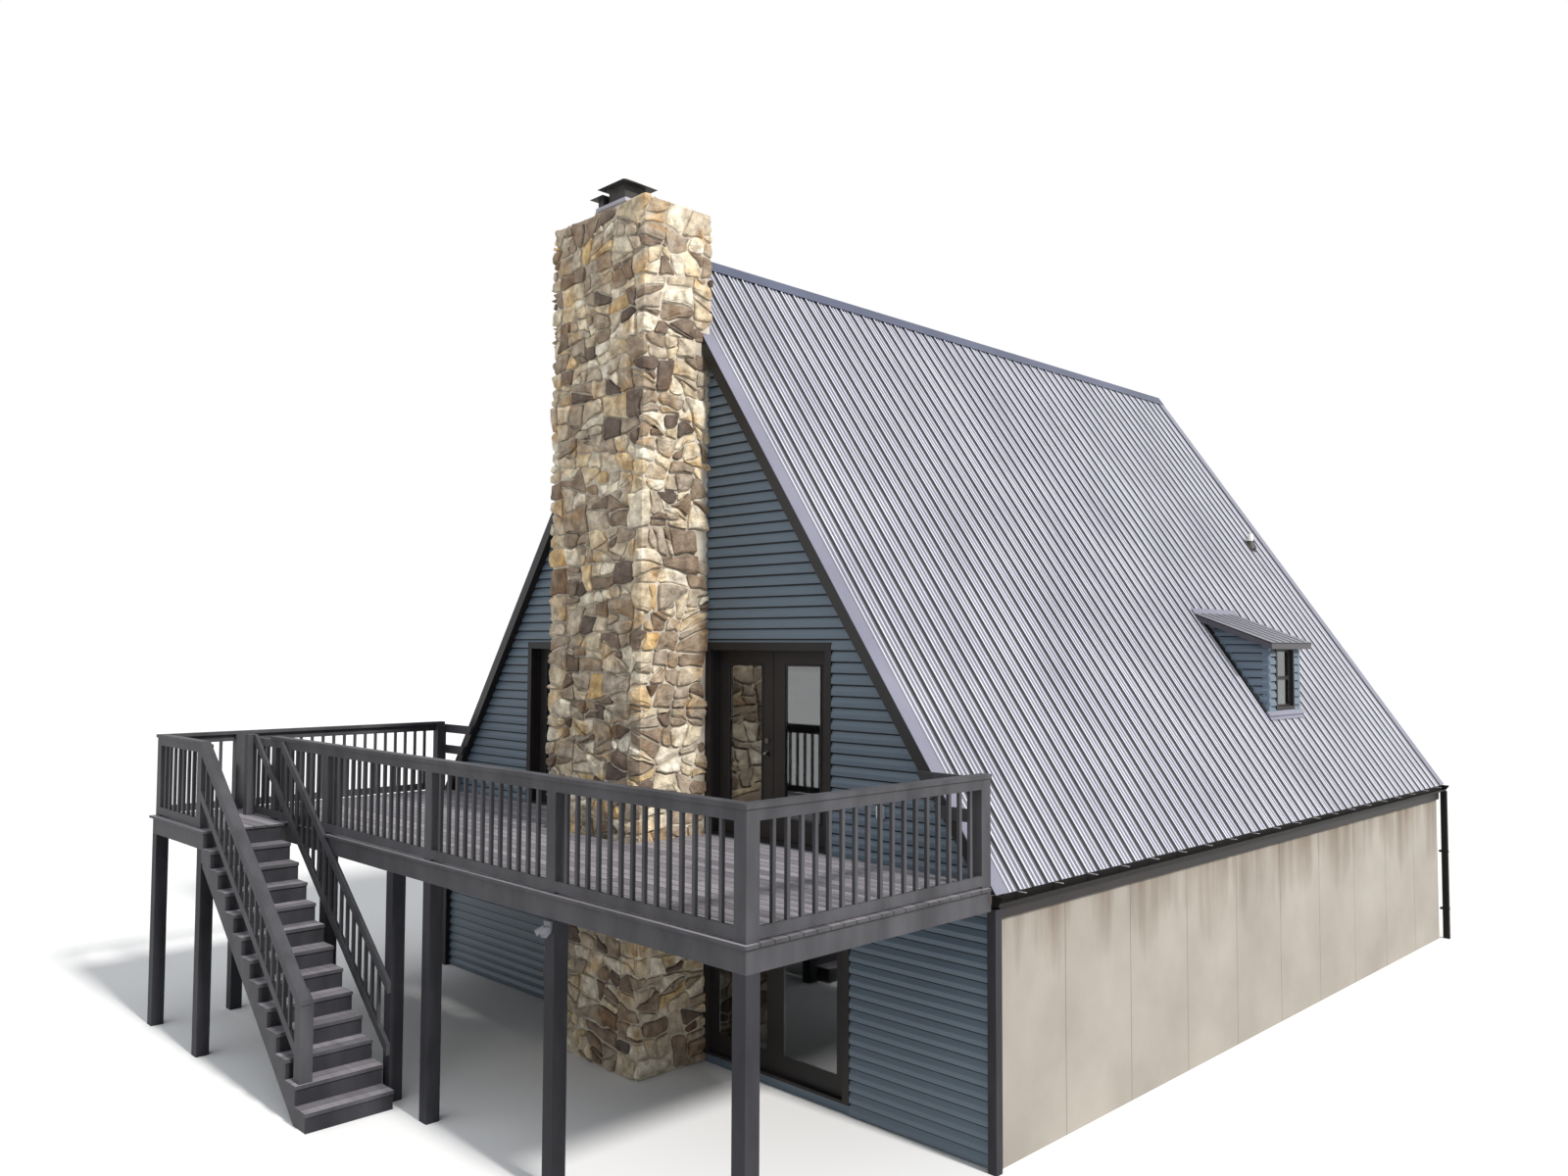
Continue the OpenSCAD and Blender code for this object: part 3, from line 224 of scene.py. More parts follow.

# %% [markdown]
# ## The recipe of a finish
# A real finish is never one flat colour. This recipe mixes two close colours by broad noise, adds a
# fine bump, and lets the roughness wander with the colour. Dirt, rust and joints come on top as
# layers that multiply the colour, as a glaze would, and so do the painted highlight and shade along
# the roof's ribs.

# %% Mix a finish and lay dirt over it
GRAIN_RATIO = 12
MOTTLE_LOW, MOTTLE_HIGH = 0.32, 0.68


def add_bump(tree, shader, height, distance):
    bump = node(tree, "ShaderNodeBump", Distance=distance, Strength=1.0)
    tree.links.new(height, bump.inputs["Height"])
    tree.links.new(bump.outputs["Normal"], shader.inputs["Normal"])


def uneven_roughness(tree, shader, factor, low, high):
    spread = node(tree, "ShaderNodeMapRange")
    spread.inputs["To Min"].default_value = low
    spread.inputs["To Max"].default_value = high
    tree.links.new(factor, spread.inputs["Value"])
    tree.links.new(spread.outputs["Result"], shader.inputs["Roughness"])


def overlay(material, layer, amount=1.0):
    """Multiply the finish's colour by a layer: dirt, rust, joints, or the ribs' painted highlight
    and shade.
    """
    tree = material.node_tree
    shader = tree.nodes["Principled BSDF"]
    mix = node(tree, "ShaderNodeMix", data_type="RGBA", blend_type="MULTIPLY")
    mix.inputs["Factor"].default_value = amount
    tree.links.new(shader.inputs["Base Color"].links[0].from_socket, mix.inputs["A"])
    tree.links.new(layer, mix.inputs["B"])
    tree.links.new(mix.outputs["Result"], shader.inputs["Base Color"])


def mottled(name, dark, light, scale, rough, bump, grain=1.0, stretch=(1, 1, 1), metallic=0.0,
            specular=0.5):
    """Finish whose colour wanders between two tones, with a finer bump."""
    material, tree, shader = new_material(name, metallic, specular)
    broad = object_noise(tree, scale, stretch)
    fine = object_noise(tree, scale * GRAIN_RATIO * grain, stretch, detail=6.0)
    colour = ramp(tree, broad, [(MOTTLE_LOW, dark), (MOTTLE_HIGH, light)])
    tree.links.new(colour, shader.inputs["Base Color"])
    uneven_roughness(tree, shader, broad, *rough)
    add_bump(tree, shader, fine, bump)
    return material


print("the bump's grain is", GRAIN_RATIO, "times as fine as the mottling")

# %% [markdown]
# ## Painted and bare metal
# The trims, the ridge cap, the gutters, the caps and the knobs are sheet metal or castings. Full
# metallic would look bare and bright, so painted parts get a little of it and a low gloss, and
# only the zinc and the steel get more.

# %% Mix the metals
trim_metal = mottled("trim_metal", (0.185, 0.186, 0.245), (0.225, 0.226, 0.290), 0.9, (0.32, 0.44),
                     0.0006, metallic=0.20, specular=0.4)
ridge_metal = mottled("ridge_metal", (0.045, 0.055, 0.100), (0.075, 0.088, 0.145), 0.9,
                      (0.32, 0.44), 0.0006, metallic=0.20, specular=0.4)
bronze_paint = mottled("bronze_paint", (0.014, 0.013, 0.013), (0.026, 0.022, 0.021), 1.2,
                       (0.42, 0.56), 0.0004, grain=4.0, specular=0.25)
gutter_paint = mottled("gutter_paint", (0.007, 0.0065, 0.006), (0.013, 0.012, 0.0115), 1.0,
                       (0.48, 0.60), 0.0004, specular=0.15)
cap_black = mottled("cap_black", (0.028, 0.026, 0.025), (0.050, 0.046, 0.043), 5.0, (0.45, 0.65),
                    0.001, metallic=0.3)
plate_zinc = mottled("plate_zinc", (0.40, 0.41, 0.43), (0.55, 0.56, 0.58), 6.0, (0.35, 0.5), 0.0005,
                     metallic=0.6)
knob_steel = mottled("knob_steel", (0.10, 0.095, 0.09), (0.15, 0.14, 0.13), 20.0, (0.22, 0.32),
                     0.0002, metallic=0.9)
lamp_grey = mottled("lamp_grey", (0.10, 0.105, 0.12), (0.15, 0.155, 0.175), 6.0, (0.35, 0.5),
                    0.0003)
white_plastic = mottled("white_plastic", (0.66, 0.66, 0.64), (0.74, 0.74, 0.72), 3.0, (0.35, 0.5),
                        0.0003)
print("metals and fittings", len(bpy.data.materials))

# %% [markdown]
# ## Painted siding and stained wood
# The siding is blue-grey, and its recesses are painted almost black as shade. The deck's frame and
# rails have a dark stain that has worn to two tones, and its posts are darker still. A stretched
# noise gives the wood its length and the siding its long streaks.

# %% Mix the paints and stains
siding_paint = mottled("siding_paint", (0.094, 0.132, 0.170), (0.116, 0.156, 0.198), 0.7,
                       (0.42, 0.55), 0.0006, grain=6.0, stretch=(0.25, 0.25, 1))
recess_painted_shade = mottled("recess_painted_shade", (0.010, 0.011, 0.014), (0.018, 0.020, 0.024), 0.7,
                       (0.60, 0.75), 0.0004)
rail_stain = mottled("rail_stain", (0.031, 0.031, 0.036), (0.067, 0.066, 0.074), 3.0, (0.55, 0.70),
                     0.0015, grain=2.0, stretch=(1, 1, 0.35), specular=0.35)
post_stain = mottled("post_stain", (0.014, 0.014, 0.018), (0.034, 0.034, 0.041), 3.0, (0.58, 0.72),
                     0.0015, grain=2.0, stretch=(1, 1, 0.35), specular=0.25)
pine_boards = mottled("pine_boards", (0.40, 0.25, 0.13), (0.52, 0.35, 0.20), 2.0, (0.45, 0.6),
                      0.001, stretch=(1, 0.15, 1))
print("siding", siding_paint.name, "and rails", rail_stain.name)

# %% [markdown]
# ## Concrete and mortar
# The basement's walls are parged: a coat of cement with fine seams where its panels meet, and
# brown streaks where rain ran down from the eaves. An image could hold such stains, but a seam is
# only a share of a panel's width and a streak is tall noise that grows with height. The mortar
# between the stones has weathered in broad patches, from sand to dark grey.

# %% Mix the concrete and the mortar
PANEL_WIDTH = 1.22
WALL_HEIGHT = 2.2
SEAM = (0.45, 0.42, 0.38)
RAIN_STREAK = (0.50, 0.43, 0.36)
CLEAN = (1, 1, 1)
slab_concrete = mottled("slab_concrete", (0.30, 0.29, 0.27), (0.38, 0.37, 0.34), 0.8, (0.75, 0.9),
                        0.003)
mortar = mottled("mortar", (0.27, 0.235, 0.185), (0.74, 0.68, 0.57), 1.6, (0.85, 0.95), 0.012,
                 grain=0.8)
crown_mortar = mottled("crown_mortar", (0.40, 0.37, 0.32), (0.58, 0.54, 0.48), 4.0, (0.85, 0.95),
                       0.012, grain=0.8)
parging = mottled("parging", (0.262, 0.238, 0.208), (0.335, 0.308, 0.272), 0.8, (0.80, 0.92), 0.004,
                  grain=1.5)
parging_tree = parging.node_tree
place = object_place(parging_tree)
panels = add_math(parging_tree, "FRACT",
                  add_math(parging_tree, "DIVIDE", place["Y"], PANEL_WIDTH))
seams = ramp(parging_tree, panels, [(0.0, SEAM), (0.006, SEAM), (0.010, CLEAN)])
streaks = object_noise(parging_tree, 2.4, (1, 1, 0.10), detail=5.0)
height = add_math(parging_tree, "DIVIDE", place["Z"], WALL_HEIGHT)
dirt = ramp(parging_tree, add_math(parging_tree, "MULTIPLY", streaks, height),
            [(0.36, CLEAN), (0.62, RAIN_STREAK)])
for layer in (seams, dirt):
    overlay(parging, layer)
print("parging seams every", PANEL_WIDTH, "m")

# %% [markdown]
# ## Two colours on one solid
# The rake trim is one bent sheet of metal. Its flange on the roof is painted light blue-grey as the
# sky's reflection, and its drop down the gable is painted almost black as shade. Two solids could
# carry the two colours, but the trim is one bent sheet, so a few lines of arithmetic on object
# coordinates say on which side of a plane a point is, and that switches the colour. The crown of
# the chimney is switched in the same way: mortar below, and the zinc plate with its flues above.

# %% Switch the colours of the trim and the crown
TRIM_DROP_PAINTED_SHADE = (0.020, 0.018, 0.018)
ZINC = (0.44, 0.42, 0.48)
PLATE_Z = 9.638
FLANGE_DEPTH = 0.003


def switch_colour(material, factor, colour):
    """Show another colour where the factor is 0."""
    tree = material.node_tree
    shader = tree.nodes["Principled BSDF"]
    mix = node(tree, "ShaderNodeMix", data_type="RGBA")
    mix.inputs["A"].default_value = (*colour, 1)
    tree.links.new(shader.inputs["Base Color"].links[0].from_socket, mix.inputs["B"])
    tree.links.new(factor, mix.inputs["Factor"])
    tree.links.new(mix.outputs["Result"], shader.inputs["Base Color"])


def above_plane(tree, across, slope_x, slope_z, level):
    """1 where across * slope_x + Z * slope_z is over the level."""
    height = add_math(tree, "MULTIPLY", object_place(tree)["Z"], slope_z)
    total = add_math(tree, "ADD", add_math(tree, "MULTIPLY", across, slope_x), height)
    return add_math(tree, "GREATER_THAN", total, level)


crown_tree = crown_mortar.node_tree
below_plate = add_math(crown_tree, "LESS_THAN", object_place(crown_tree)["Z"], PLATE_Z)
switch_colour(crown_mortar, below_plate, ZINC)
trim_tree = trim_metal.node_tree
from_ridge = add_math(trim_tree, "ABSOLUTE", object_place(trim_tree)["X"])
on_top = above_plane(trim_tree, from_ridge, math.sin(SLOPE), math.cos(SLOPE),
                     RIDGE_Z * math.cos(SLOPE) - FLANGE_DEPTH)
# The flange keeps its light blue-grey as a painted sky reflection; the drop below gets near black
# as painted shade.
switch_colour(trim_metal, on_top, TRIM_DROP_PAINTED_SHADE)
print("two colours on", trim_metal.name, "and", crown_mortar.name)

# %% [markdown]
# ## Ribbed roofing
# From a distance the roof is a field of fine stripes: each rib has a bright crest and a side that
# faces away from the light. Both are painted into the colour, as a painted highlight on each crest
# and a painted shade on the far side and at its foot. The ribs are in the solid, so the finish only
# has to know where in a rib's pitch a point is. The fractional part of Y over the pitch tells, and
# a colour ramp over it multiplies the metal's colour.

# %% Stripe the roofing metal along its ribs
ROOF_TONES = ((0.205, 0.208, 0.245), (0.250, 0.254, 0.292))
# Multipliers across a rib's pitch: 2.6 is a painted highlight on the crests, 0.06 a painted shade
# on the far side of each tall rib.
RIB_HIGHLIGHT_AND_SHADE = [(0.000, 2.60), (0.095, 2.60), (0.110, 0.80), (0.312, 0.62), (0.325, 2.60),
               (0.405, 2.60), (0.417, 0.55), (0.598, 0.70), (0.611, 2.60), (0.695, 2.60),
               (0.707, 0.62), (0.835, 0.60), (0.848, 0.06), (0.945, 0.06), (0.955, 2.60)]
PITCHES_BEFORE = 100
ROOF_MARGIN = 0.06
RIB_COUNT = int((-2 * FRONT_Y - ROOF_MARGIN) / RIB_PITCH)
FIRST_RIB = -RIB_COUNT * RIB_PITCH / 2


def ribbed_metal(name, first_rib, shade=1.0):
    """Roofing metal with a painted highlight and shade at each rib, counted from the first rib;
    shade darkens it all as painted shade; the count of pitches stays over 0.
    """
    low, high = ([shade * part for part in tone] for tone in ROOF_TONES)
    material = mottled(name, low, high, 0.9, (0.36, 0.48), 0.0006, metallic=0.10, specular=0.4)
    tree = material.node_tree
    steps = add_math(tree, "MULTIPLY", object_place(tree)["Y"], 1 / RIB_PITCH)
    steps = add_math(tree, "SUBTRACT", steps, first_rib / RIB_PITCH - PITCHES_BEFORE)
    # The ramp paints highlights on the rib crests and shade on their sides away from the light.
    stripes = [(at, (tone, tone, tone)) for at, tone in RIB_HIGHLIGHT_AND_SHADE]
    overlay(material, ramp(tree, add_math(tree, "FRACT", steps), stripes))
    return material


roof_metal = ribbed_metal("roof_metal", FIRST_RIB)
print("roofing", RIB_COUNT, "ribs from", round(FIRST_RIB, 3))

# %% [markdown]
# ## The dormer's roof
# It has ribs of its own, and the roof's metal with painted shade over it, as it leans another way.
# Its cut edge shows grey, over a black closure strip under the ribs. Both lie at a set depth under
# its sloping top, so the switch of colours from the trim serves once more.

# %% Edge the dormer's roof in grey, under a black closure strip
DORMER_FACE = 3.95
DORMER_CENTRE = 2.11
DORMER_TAN = math.tan(math.radians(20.5))
DORMER_TOP = 4.7105
STRIP_DEPTH = 0.004
EDGE_DEPTH = 0.024
CLOSURE_BLACK = (0.010, 0.010, 0.012)
EDGE_GREY = (0.062, 0.058, 0.066)
# The dormer's roof is the main roof's metal darkened to 0.55 as painted shade.
dormer_metal = ribbed_metal("dormer_metal", DORMER_CENTRE, shade=0.55)
dormer_tree = dormer_metal.node_tree
outwards = object_place(dormer_tree)["X"]
level = DORMER_TOP + DORMER_FACE * DORMER_TAN
for depth, colour in ((STRIP_DEPTH, CLOSURE_BLACK), (EDGE_DEPTH, EDGE_GREY)):
    over = above_plane(dormer_tree, outwards, DORMER_TAN, 1, level - depth)
    switch_colour(dormer_metal, over, colour)
print("dormer roof", dormer_metal.name)

# %% [markdown]
# ## Glass
# The panes mirror what is bright and show a dim room behind. A clear shader with a slight grey
# tint does both: its gloss comes from the light around it, and the tint stays in the pane. A high
# index of refraction makes the mirror as strong as that of double panes.

# %% Clear tinted glass
pane_glass, _, pane_shader = new_material("pane_glass", specular=0.8)
pane_shader.inputs["Base Color"].default_value = (0.30, 0.34, 0.36, 1)
pane_shader.inputs["Roughness"].default_value = 0.02
pane_shader.inputs["Transmission Weight"].default_value = 1.0
pane_shader.inputs["IOR"].default_value = 2.2
print("glass", pane_glass.name)

# %% [markdown]
# ## Stones and boards by tone
# Stones and deck boards differ one from the next. A material for each would be hundreds, so each
# stone or board carries one number, its tone, and one material turns that number into a colour.
# The stones run from brown-black over rust and sand to cream, with patches of rust; the boards
# are three greys.

# %% Turn a face's tone into stone and wood
TONED_GRAIN_RATIO = 5
BRIGHT = (1.12, 1.12, 1.12)


def toned_material(name, stops, stain, scale, stretch, rough, bump, amount, detail=6.0):
    """Material whose colour comes from the tone, darkened and varied by noise."""
    material, tree, shader = new_material(name)
    tone = node(tree, "ShaderNodeAttribute", attribute_name="tone").outputs["Fac"]
    tree.links.new(ramp(tree, tone, stops), shader.inputs["Base Color"])
    broad = object_noise(tree, scale, stretch)
    fine = object_noise(tree, scale * TONED_GRAIN_RATIO, stretch, detail=detail)
    overlay(material, ramp(tree, broad, [(0.30, stain), (0.70, BRIGHT)]), amount)
    uneven_roughness(tree, shader, broad, *rough)
    add_bump(tree, shader, fine, bump)
    return material


field_stone = toned_material(
    "field_stone",
    [(0.00, (0.130, 0.098, 0.080)), (0.12, (0.235, 0.172, 0.125)), (0.24, (0.380, 0.295, 0.210)),
     (0.40, (0.510, 0.440, 0.350)), (0.56, (0.690, 0.590, 0.440)), (0.63, (0.720, 0.600, 0.400)),
     (0.66, (0.760, 0.530, 0.240)), (0.70, (0.760, 0.640, 0.430)), (0.80, (0.830, 0.750, 0.580)),
     (1.00, (0.920, 0.860, 0.720))],
    (0.34, 0.30, 0.27), 9.0, (1, 1, 1), (0.70, 0.88), 0.018, 0.9, detail=8.0)
rust_patches = ramp(field_stone.node_tree, object_noise(field_stone.node_tree, 2.6, detail=7.0),
                    [(0.50, CLEAN), (0.64, (0.86, 0.64, 0.38))])
overlay(field_stone, rust_patches, 0.8)
deck_plank = toned_material(
    "deck_plank",
    [(0.0, (0.160, 0.152, 0.170)), (0.5, (0.225, 0.213, 0.236)), (1.0, (0.300, 0.284, 0.310))],
    (0.72, 0.70, 0.70), 3.0, (0.25, 6, 6), (0.50, 0.68), 0.0012, 0.8)
print("toned finishes", field_stone.name, deck_plank.name)

# %% [markdown]
# ## Finishes on the frame's own solids
# A solid whose shape is already right only needs a better material, so the table below names one
# for each. Nothing is moved and no mesh is changed.

# %% Give every solid its finish
FINISHES = {
    roof_metal: ["metal_roof_left", "metal_roof_right"],
    dormer_metal: ["dormer_roof"],
    trim_metal: ["rake_trims"],
    ridge_metal: ["ridge_cap"],
    siding_paint: ["basement_wall", "front_wall_lower", "front_wall_upper", "rear_wall",
                   "dormer_walls"],
    bronze_paint: ["basement_door", "rear_windows", "dormer_window", "door_frames", "eave_boards",
                   "right_door_inner", "right_door_outer", "left_door_inner", "left_door_outer"],
    gutter_paint: ["gutters"],
    post_stain: ["deck_posts", "stair_risers"],
    rail_stain: ["deck_frame", "front_railing", "side_railings", "landing_railing",
                 "stair_stringers", "stair_railings"],
    parging: ["foundation_sides", "foundation_rear"],
    slab_concrete: ["basement_slab"],
    pine_boards: ["main_floor", "roof_left", "roof_right"],
    white_plastic: ["vent_pipe"],
    lamp_grey: ["floodlight"],
    cap_black: ["chimney_caps"],
    mortar: ["chimney_stack"],
    crown_mortar: ["chimney_crown"],
    knob_steel: ["right_door_knobs", "left_door_knobs"],
    pane_glass: ["window_glass", "right_inner_glass", "right_outer_glass", "left_inner_glass",
                 "left_outer_glass"],
}
for material, names in FINISHES.items():
    for name in names:
        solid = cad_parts[name]
        solid.data.materials.clear()
        solid.data.materials.append(material)
print("finished", sum(len(names) for names in FINISHES.values()), "solids")

# %% [markdown]
# ## Field stones on the chimney
# Rough stones of many sizes are fitted round the stack, and the ones at the corners turn them. So
# the stones are made on one flat strip, as long as the way round the chimney, which is folded at
# the corners at the end. In the strip, X runs round, Y runs up and Z stands out. A face is halved
# again and again with slanted cuts until each part is the size of a stone: this gives the mixed
# courses of rubble, where scattered points would give round cells.

# %% Halve a strip into stones
STACK_DEPTH = FRONT_Y - STACK_FRONT
FOLDS = (STACK_DEPTH, STACK_DEPTH + 2 * STACK_HALF, 2 * STACK_DEPTH + 2 * STACK_HALF)
STRIP_LENGTH = FOLDS[2] + 2 * STACK_HALF
STONE_WIDTHS = (0.27, 0.66)
STONE_HEIGHTS = (0.17, 0.40)
CUT_SHARES = (0.36, 0.64)
CUT_TILT = 0.48
LONG_CUT = 0.6


def in_order(parts):
    """The same order in every run, because the operators give their parts in any order."""
    def place(part):
        if isinstance(part, bmesh.types.BMFace):
            middle = part.calc_center_median()
        elif isinstance(part, bmesh.types.BMEdge):
            middle = (part.verts[0].co + part.verts[1].co) / 2
        else:
            middle = part.co
        return tuple(round(c, 5) for c in middle)
    return sorted(parts, key=place)


def cut_stones(bm, rng):
    """Halve every face until its width and height are under sizes drawn for it."""
    waiting = bm.faces[:]
    while waiting:
        face = waiting.pop()
        low = [min(v.co[axis] for v in face.verts) for axis in (0, 1)]
        size = [max(v.co[axis] for v in face.verts) - low[axis] for axis in (0, 1)]
        goal = (rng.uniform(*STONE_WIDTHS), rng.uniform(*STONE_HEIGHTS))
        if size[0] <= goal[0] and size[1] <= goal[1]:
            continue
        share = rng.uniform(*CUT_SHARES)
        upright = size[0] / goal[0] > size[1] / goal[1]
        cut_length = size[1 if upright else 0]
        tilt = rng.uniform(-CUT_TILT, CUT_TILT) * min(1, LONG_CUT / cut_length)
        place = (low[0] + size[0] * share, low[1] + size[1] * share, 0)
        square_to_cut = (1, tilt, 0) if upright else (tilt, 1, 0)
        cut = bmesh.ops.bisect_plane(bm, geom=[face, *face.edges, *face.verts], dist=1e-5,
                                     plane_co=place, plane_no=square_to_cut)
        parts = [part for part in cut["geom"] if isinstance(part, bmesh.types.BMFace)]
        waiting += in_order(parts) if len(parts) > 1 else []


print("strip", round(STRIP_LENGTH, 3), "m long, folded at", [round(fold, 3) for fold in FOLDS])

# %% [markdown]
# ## Crooked joints
# The joints of a real wall are crooked, so the corners that lie close together are merged, the long
# sides get a bend, and the whole net of joints is shaken before it comes apart. Then each part
# shrinks to leave its joints, and its corners are knocked off by its own amount. Rounding each
# stone by hand would look no better, and there are hundreds.

# %% Part the stones and round them
JOINT_HALF = 0.014
CLOSE_CORNERS = 0.05
LONG_SIDE = 0.20
BEND_SHARES = (0.38, 0.62)
SHAKE = 0.026
SHAKE_SHARE = 0.28
CORNER_CUTS = (0.008, 0.014, 0.022, 0.032, 0.044, 0.058)
CORNER_SHARE = 0.42
CORNER_SPREAD = (0.022, 0.078)
SHARP_CORNER = 0.45
SMALLEST_STONE = 0.003


def part_stones(bm, rng):
    """Bend the joints, pull the stones apart and knock off their corners."""
    bmesh.ops.remove_doubles(bm, verts=bm.verts[:], dist=CLOSE_CORNERS)
    for edge in in_order(e for e in bm.edges if e.calc_length() > LONG_SIDE):
        bmesh.utils.edge_split(edge, in_order(edge.verts)[0], rng.uniform(*BEND_SHARES))
    for vert in in_order(bm.verts):
        reach = min(SHAKE, SHAKE_SHARE * min(edge.calc_length() for edge in vert.link_edges))
        vert.co += Vector((rng.uniform(-1, 1), rng.uniform(-1, 1), 0)) * reach
    bmesh.ops.split_edges(bm, edges=bm.edges[:])
    rims = bmesh.ops.inset_individual(bm, faces=bm.faces[:], thickness=JOINT_HALF,
                                      use_even_offset=False)["faces"]
    bmesh.ops.delete(bm, geom=rims, context="FACES")
    groups = {cut: [] for cut in CORNER_CUTS}
    for face in in_order(bm.faces):
        room = min(edge.calc_length() for edge in face.edges) * CORNER_SHARE
        fitting = [cut for cut in CORNER_CUTS if cut < min(room, rng.uniform(*CORNER_SPREAD))]
        corners = [v for v in face.verts if v.calc_edge_angle(0) > SHARP_CORNER]
        groups[max(fitting, default=CORNER_CUTS[0])] += corners
    for cut, corners in groups.items():
        bmesh.ops.bevel(bm, geom=corners, offset=cut, offset_type="OFFSET", segments=1,
                        profile=0.5, affect="VERTICES", clamp_overlap=False, material=-1)
    bm.normal_update()
    slivers = [f for f in bm.faces if f.normal.z < 0.9 or f.calc_area() < SMALLEST_STONE]
    bmesh.ops.delete(bm, geom=slivers, context="FACES")


print("joints about", round(2000 * JOINT_HALF), "mm wide")

# %% [markdown]
# ## Split faces
# Every stone is drawn out of the mortar by its own amount, a little tilted, and crowned with two
# steps and a peak that is off its middle. A small shake of the points gives split faces. A bump
# in the material alone would leave the chimney's outline straight and its joints without shade.

# %% Raise the stones
RELIEF = (0.008, 0.036)
LOWEST_TOP = 0.005
LEAN = 0.08
CROWN_WIDTH, CROWN_RISE = 0.011, 0.009
BROAD_STONE = 0.042
BROAD_WIDTH, BROAD_RISE = 0.026, 0.007
ROUGHNESS_STEP = 0.006
TONE_SPREAD = 0.03
TONES = [0.03, 0.09, 0.15, 0.20, 0.25, 0.30, 0.35, 0.40, 0.44, 0.48, 0.52, 0.56, 0.60, 0.66, 0.76,
         0.82, 0.88, 0.93, 0.98]


def raise_stones(bm, rng):
    """Draw the stones out of the mortar, crown them and roughen their faces."""
    tone = bm.faces.layers.float["tone"]
    for face in in_order(bm.faces):
        face[tone] = min(1, max(0, rng.choice(TONES) + rng.uniform(-TONE_SPREAD, TONE_SPREAD)))
    lifted = bmesh.ops.extrude_face_region(bm, geom=bm.faces[:], use_keep_orig=True)["geom"]
    tops = in_order(part for part in lifted if isinstance(part, bmesh.types.BMFace))
    for face in tops:
        relief = rng.uniform(*RELIEF)
        lean = (rng.uniform(-LEAN, LEAN), rng.uniform(-LEAN, LEAN))
        middle = face.calc_center_median()
        for vert in face.verts:
            offset = vert.co - middle
            vert.co.z = max(LOWEST_TOP, relief + lean[0] * offset.x + lean[1] * offset.y)
    bmesh.ops.inset_individual(bm, faces=tops, thickness=CROWN_WIDTH, depth=CROWN_RISE)
    broad = [f for f in tops if f.calc_area() / f.calc_perimeter() > BROAD_STONE]
    bmesh.ops.inset_individual(bm, faces=broad, thickness=BROAD_WIDTH, depth=BROAD_RISE)
    for vert in in_order(bmesh.ops.poke(bm, faces=tops)["verts"]):
        vert.co += Vector((rng.uniform(-0.03, 0.03), rng.uniform(-0.02, 0.02),
                           rng.uniform(-0.002, 0.012)))
    for vert in in_order(v for v in bm.verts if v.co.z > 0.004):
        vert.co += Vector([rng.uniform(-1, 1) for _ in range(3)]) * ROUGHNESS_STEP


print("stones stand out by", RELIEF, "m, in", len(TONES), "tones")

# %% [markdown]
# ## Stones that turn the corner
# Folding moves each point to its own face of the chimney. The strip is first cut at the corner
# lines, so that a stone's points on such a line can go out along the diagonal: the stone then turns
# the corner with both its faces at the right height. Four separate faces would meet in a straight
# joint at each corner, which no stone wall has. At the rear the stones stand out less, as they
# meet the roof's edge there.

# %% Fold the strip round the chimney
CORNER_ROUND = 0.016
CORNER_PULL = 0.006
REAR_SHARE = 0.3
# For each face: where it starts, which way round goes on it, and the way out.
STACK_FACES = (((-STACK_HALF, FRONT_Y), (0, -1), (-1, 0)),
               ((-STACK_HALF, STACK_FRONT), (1, 0), (0, -1)),
               ((STACK_HALF, STACK_FRONT), (0, 1), (1, 0)),
               ((STACK_HALF, FRONT_Y), (-1, 0), (0, REAR_SHARE)))


def fold_strip(bm):
    """Cut the strip at the corners and move each point to its face; none goes under the floor."""
    for fold in FOLDS:
        for offset in (-CORNER_ROUND, 0, CORNER_ROUND):
            bmesh.ops.bisect_plane(bm, geom=bm.verts[:] + bm.edges[:] + bm.faces[:], dist=1e-6,
                                   plane_co=(fold + offset, 0, 0), plane_no=(1, 0, 0))
    starts = (0, *FOLDS)
    for vert in bm.verts:
        u, z, out = vert.co
        side = sum(u > fold - 1e-5 for fold in FOLDS)
        corner, along, normal = (Vector(v) for v in STACK_FACES[side])
        place = corner + along * (u - starts[side]) + normal * out
        if side and abs(u - starts[side]) < 1e-5:
            before = Vector(STACK_FACES[side - 1][2])
            place += before * out - (normal + before) * CORNER_PULL
        vert.co = (place.x, place.y, max(z, 0))


print("corners rounded over", 2 * CORNER_ROUND, "m")

# %% [markdown]
# ## The chimney's stones, laid
# The helpers run in turn on one sheet. Behind the gable the roof hides the chimney, so the parts
# under the roof's line are deleted first. A seeded generator makes the same stones in each run, and
# the points and faces are put in order at the end, so the mesh is the same too.

# %% Lay the stones of the chimney
UNDER_ROOF = 0.05
stones = toned_bmesh()
stone_rng = random.Random(11)
grid = bmesh.ops.create_grid(stones, x_segments=1, y_segments=1, size=0.5)["verts"]
bmesh.ops.scale(stones, vec=(STRIP_LENGTH, STACK_TOP, 1), verts=grid)
bmesh.ops.translate(stones, vec=(STRIP_LENGTH / 2, STACK_TOP / 2, 0), verts=grid)
cut_stones(stones, stone_rng)
hidden = []
for face in stones.faces:
    middle = face.calc_center_median()
    from_ridge = abs(middle.x - FOLDS[2] - STACK_HALF)
    roof_z = RIDGE_Z - from_ridge * math.tan(SLOPE) + UNDER_ROOF
    if middle.x > FOLDS[2] and middle.y < roof_z:
        hidden.append(face)
bmesh.ops.delete(stones, geom=hidden, context="FACES")
part_stones(stones, stone_rng)
print("stones", len(stones.faces))
raise_stones(stones, stone_rng)
fold_strip(stones)
for parts in (stones.verts, stones.faces):
    order = {part: place for place, part in enumerate(in_order(parts))}
    parts.sort(key=order.get)
finish_piece(stones, "chimney_stones", field_stone)

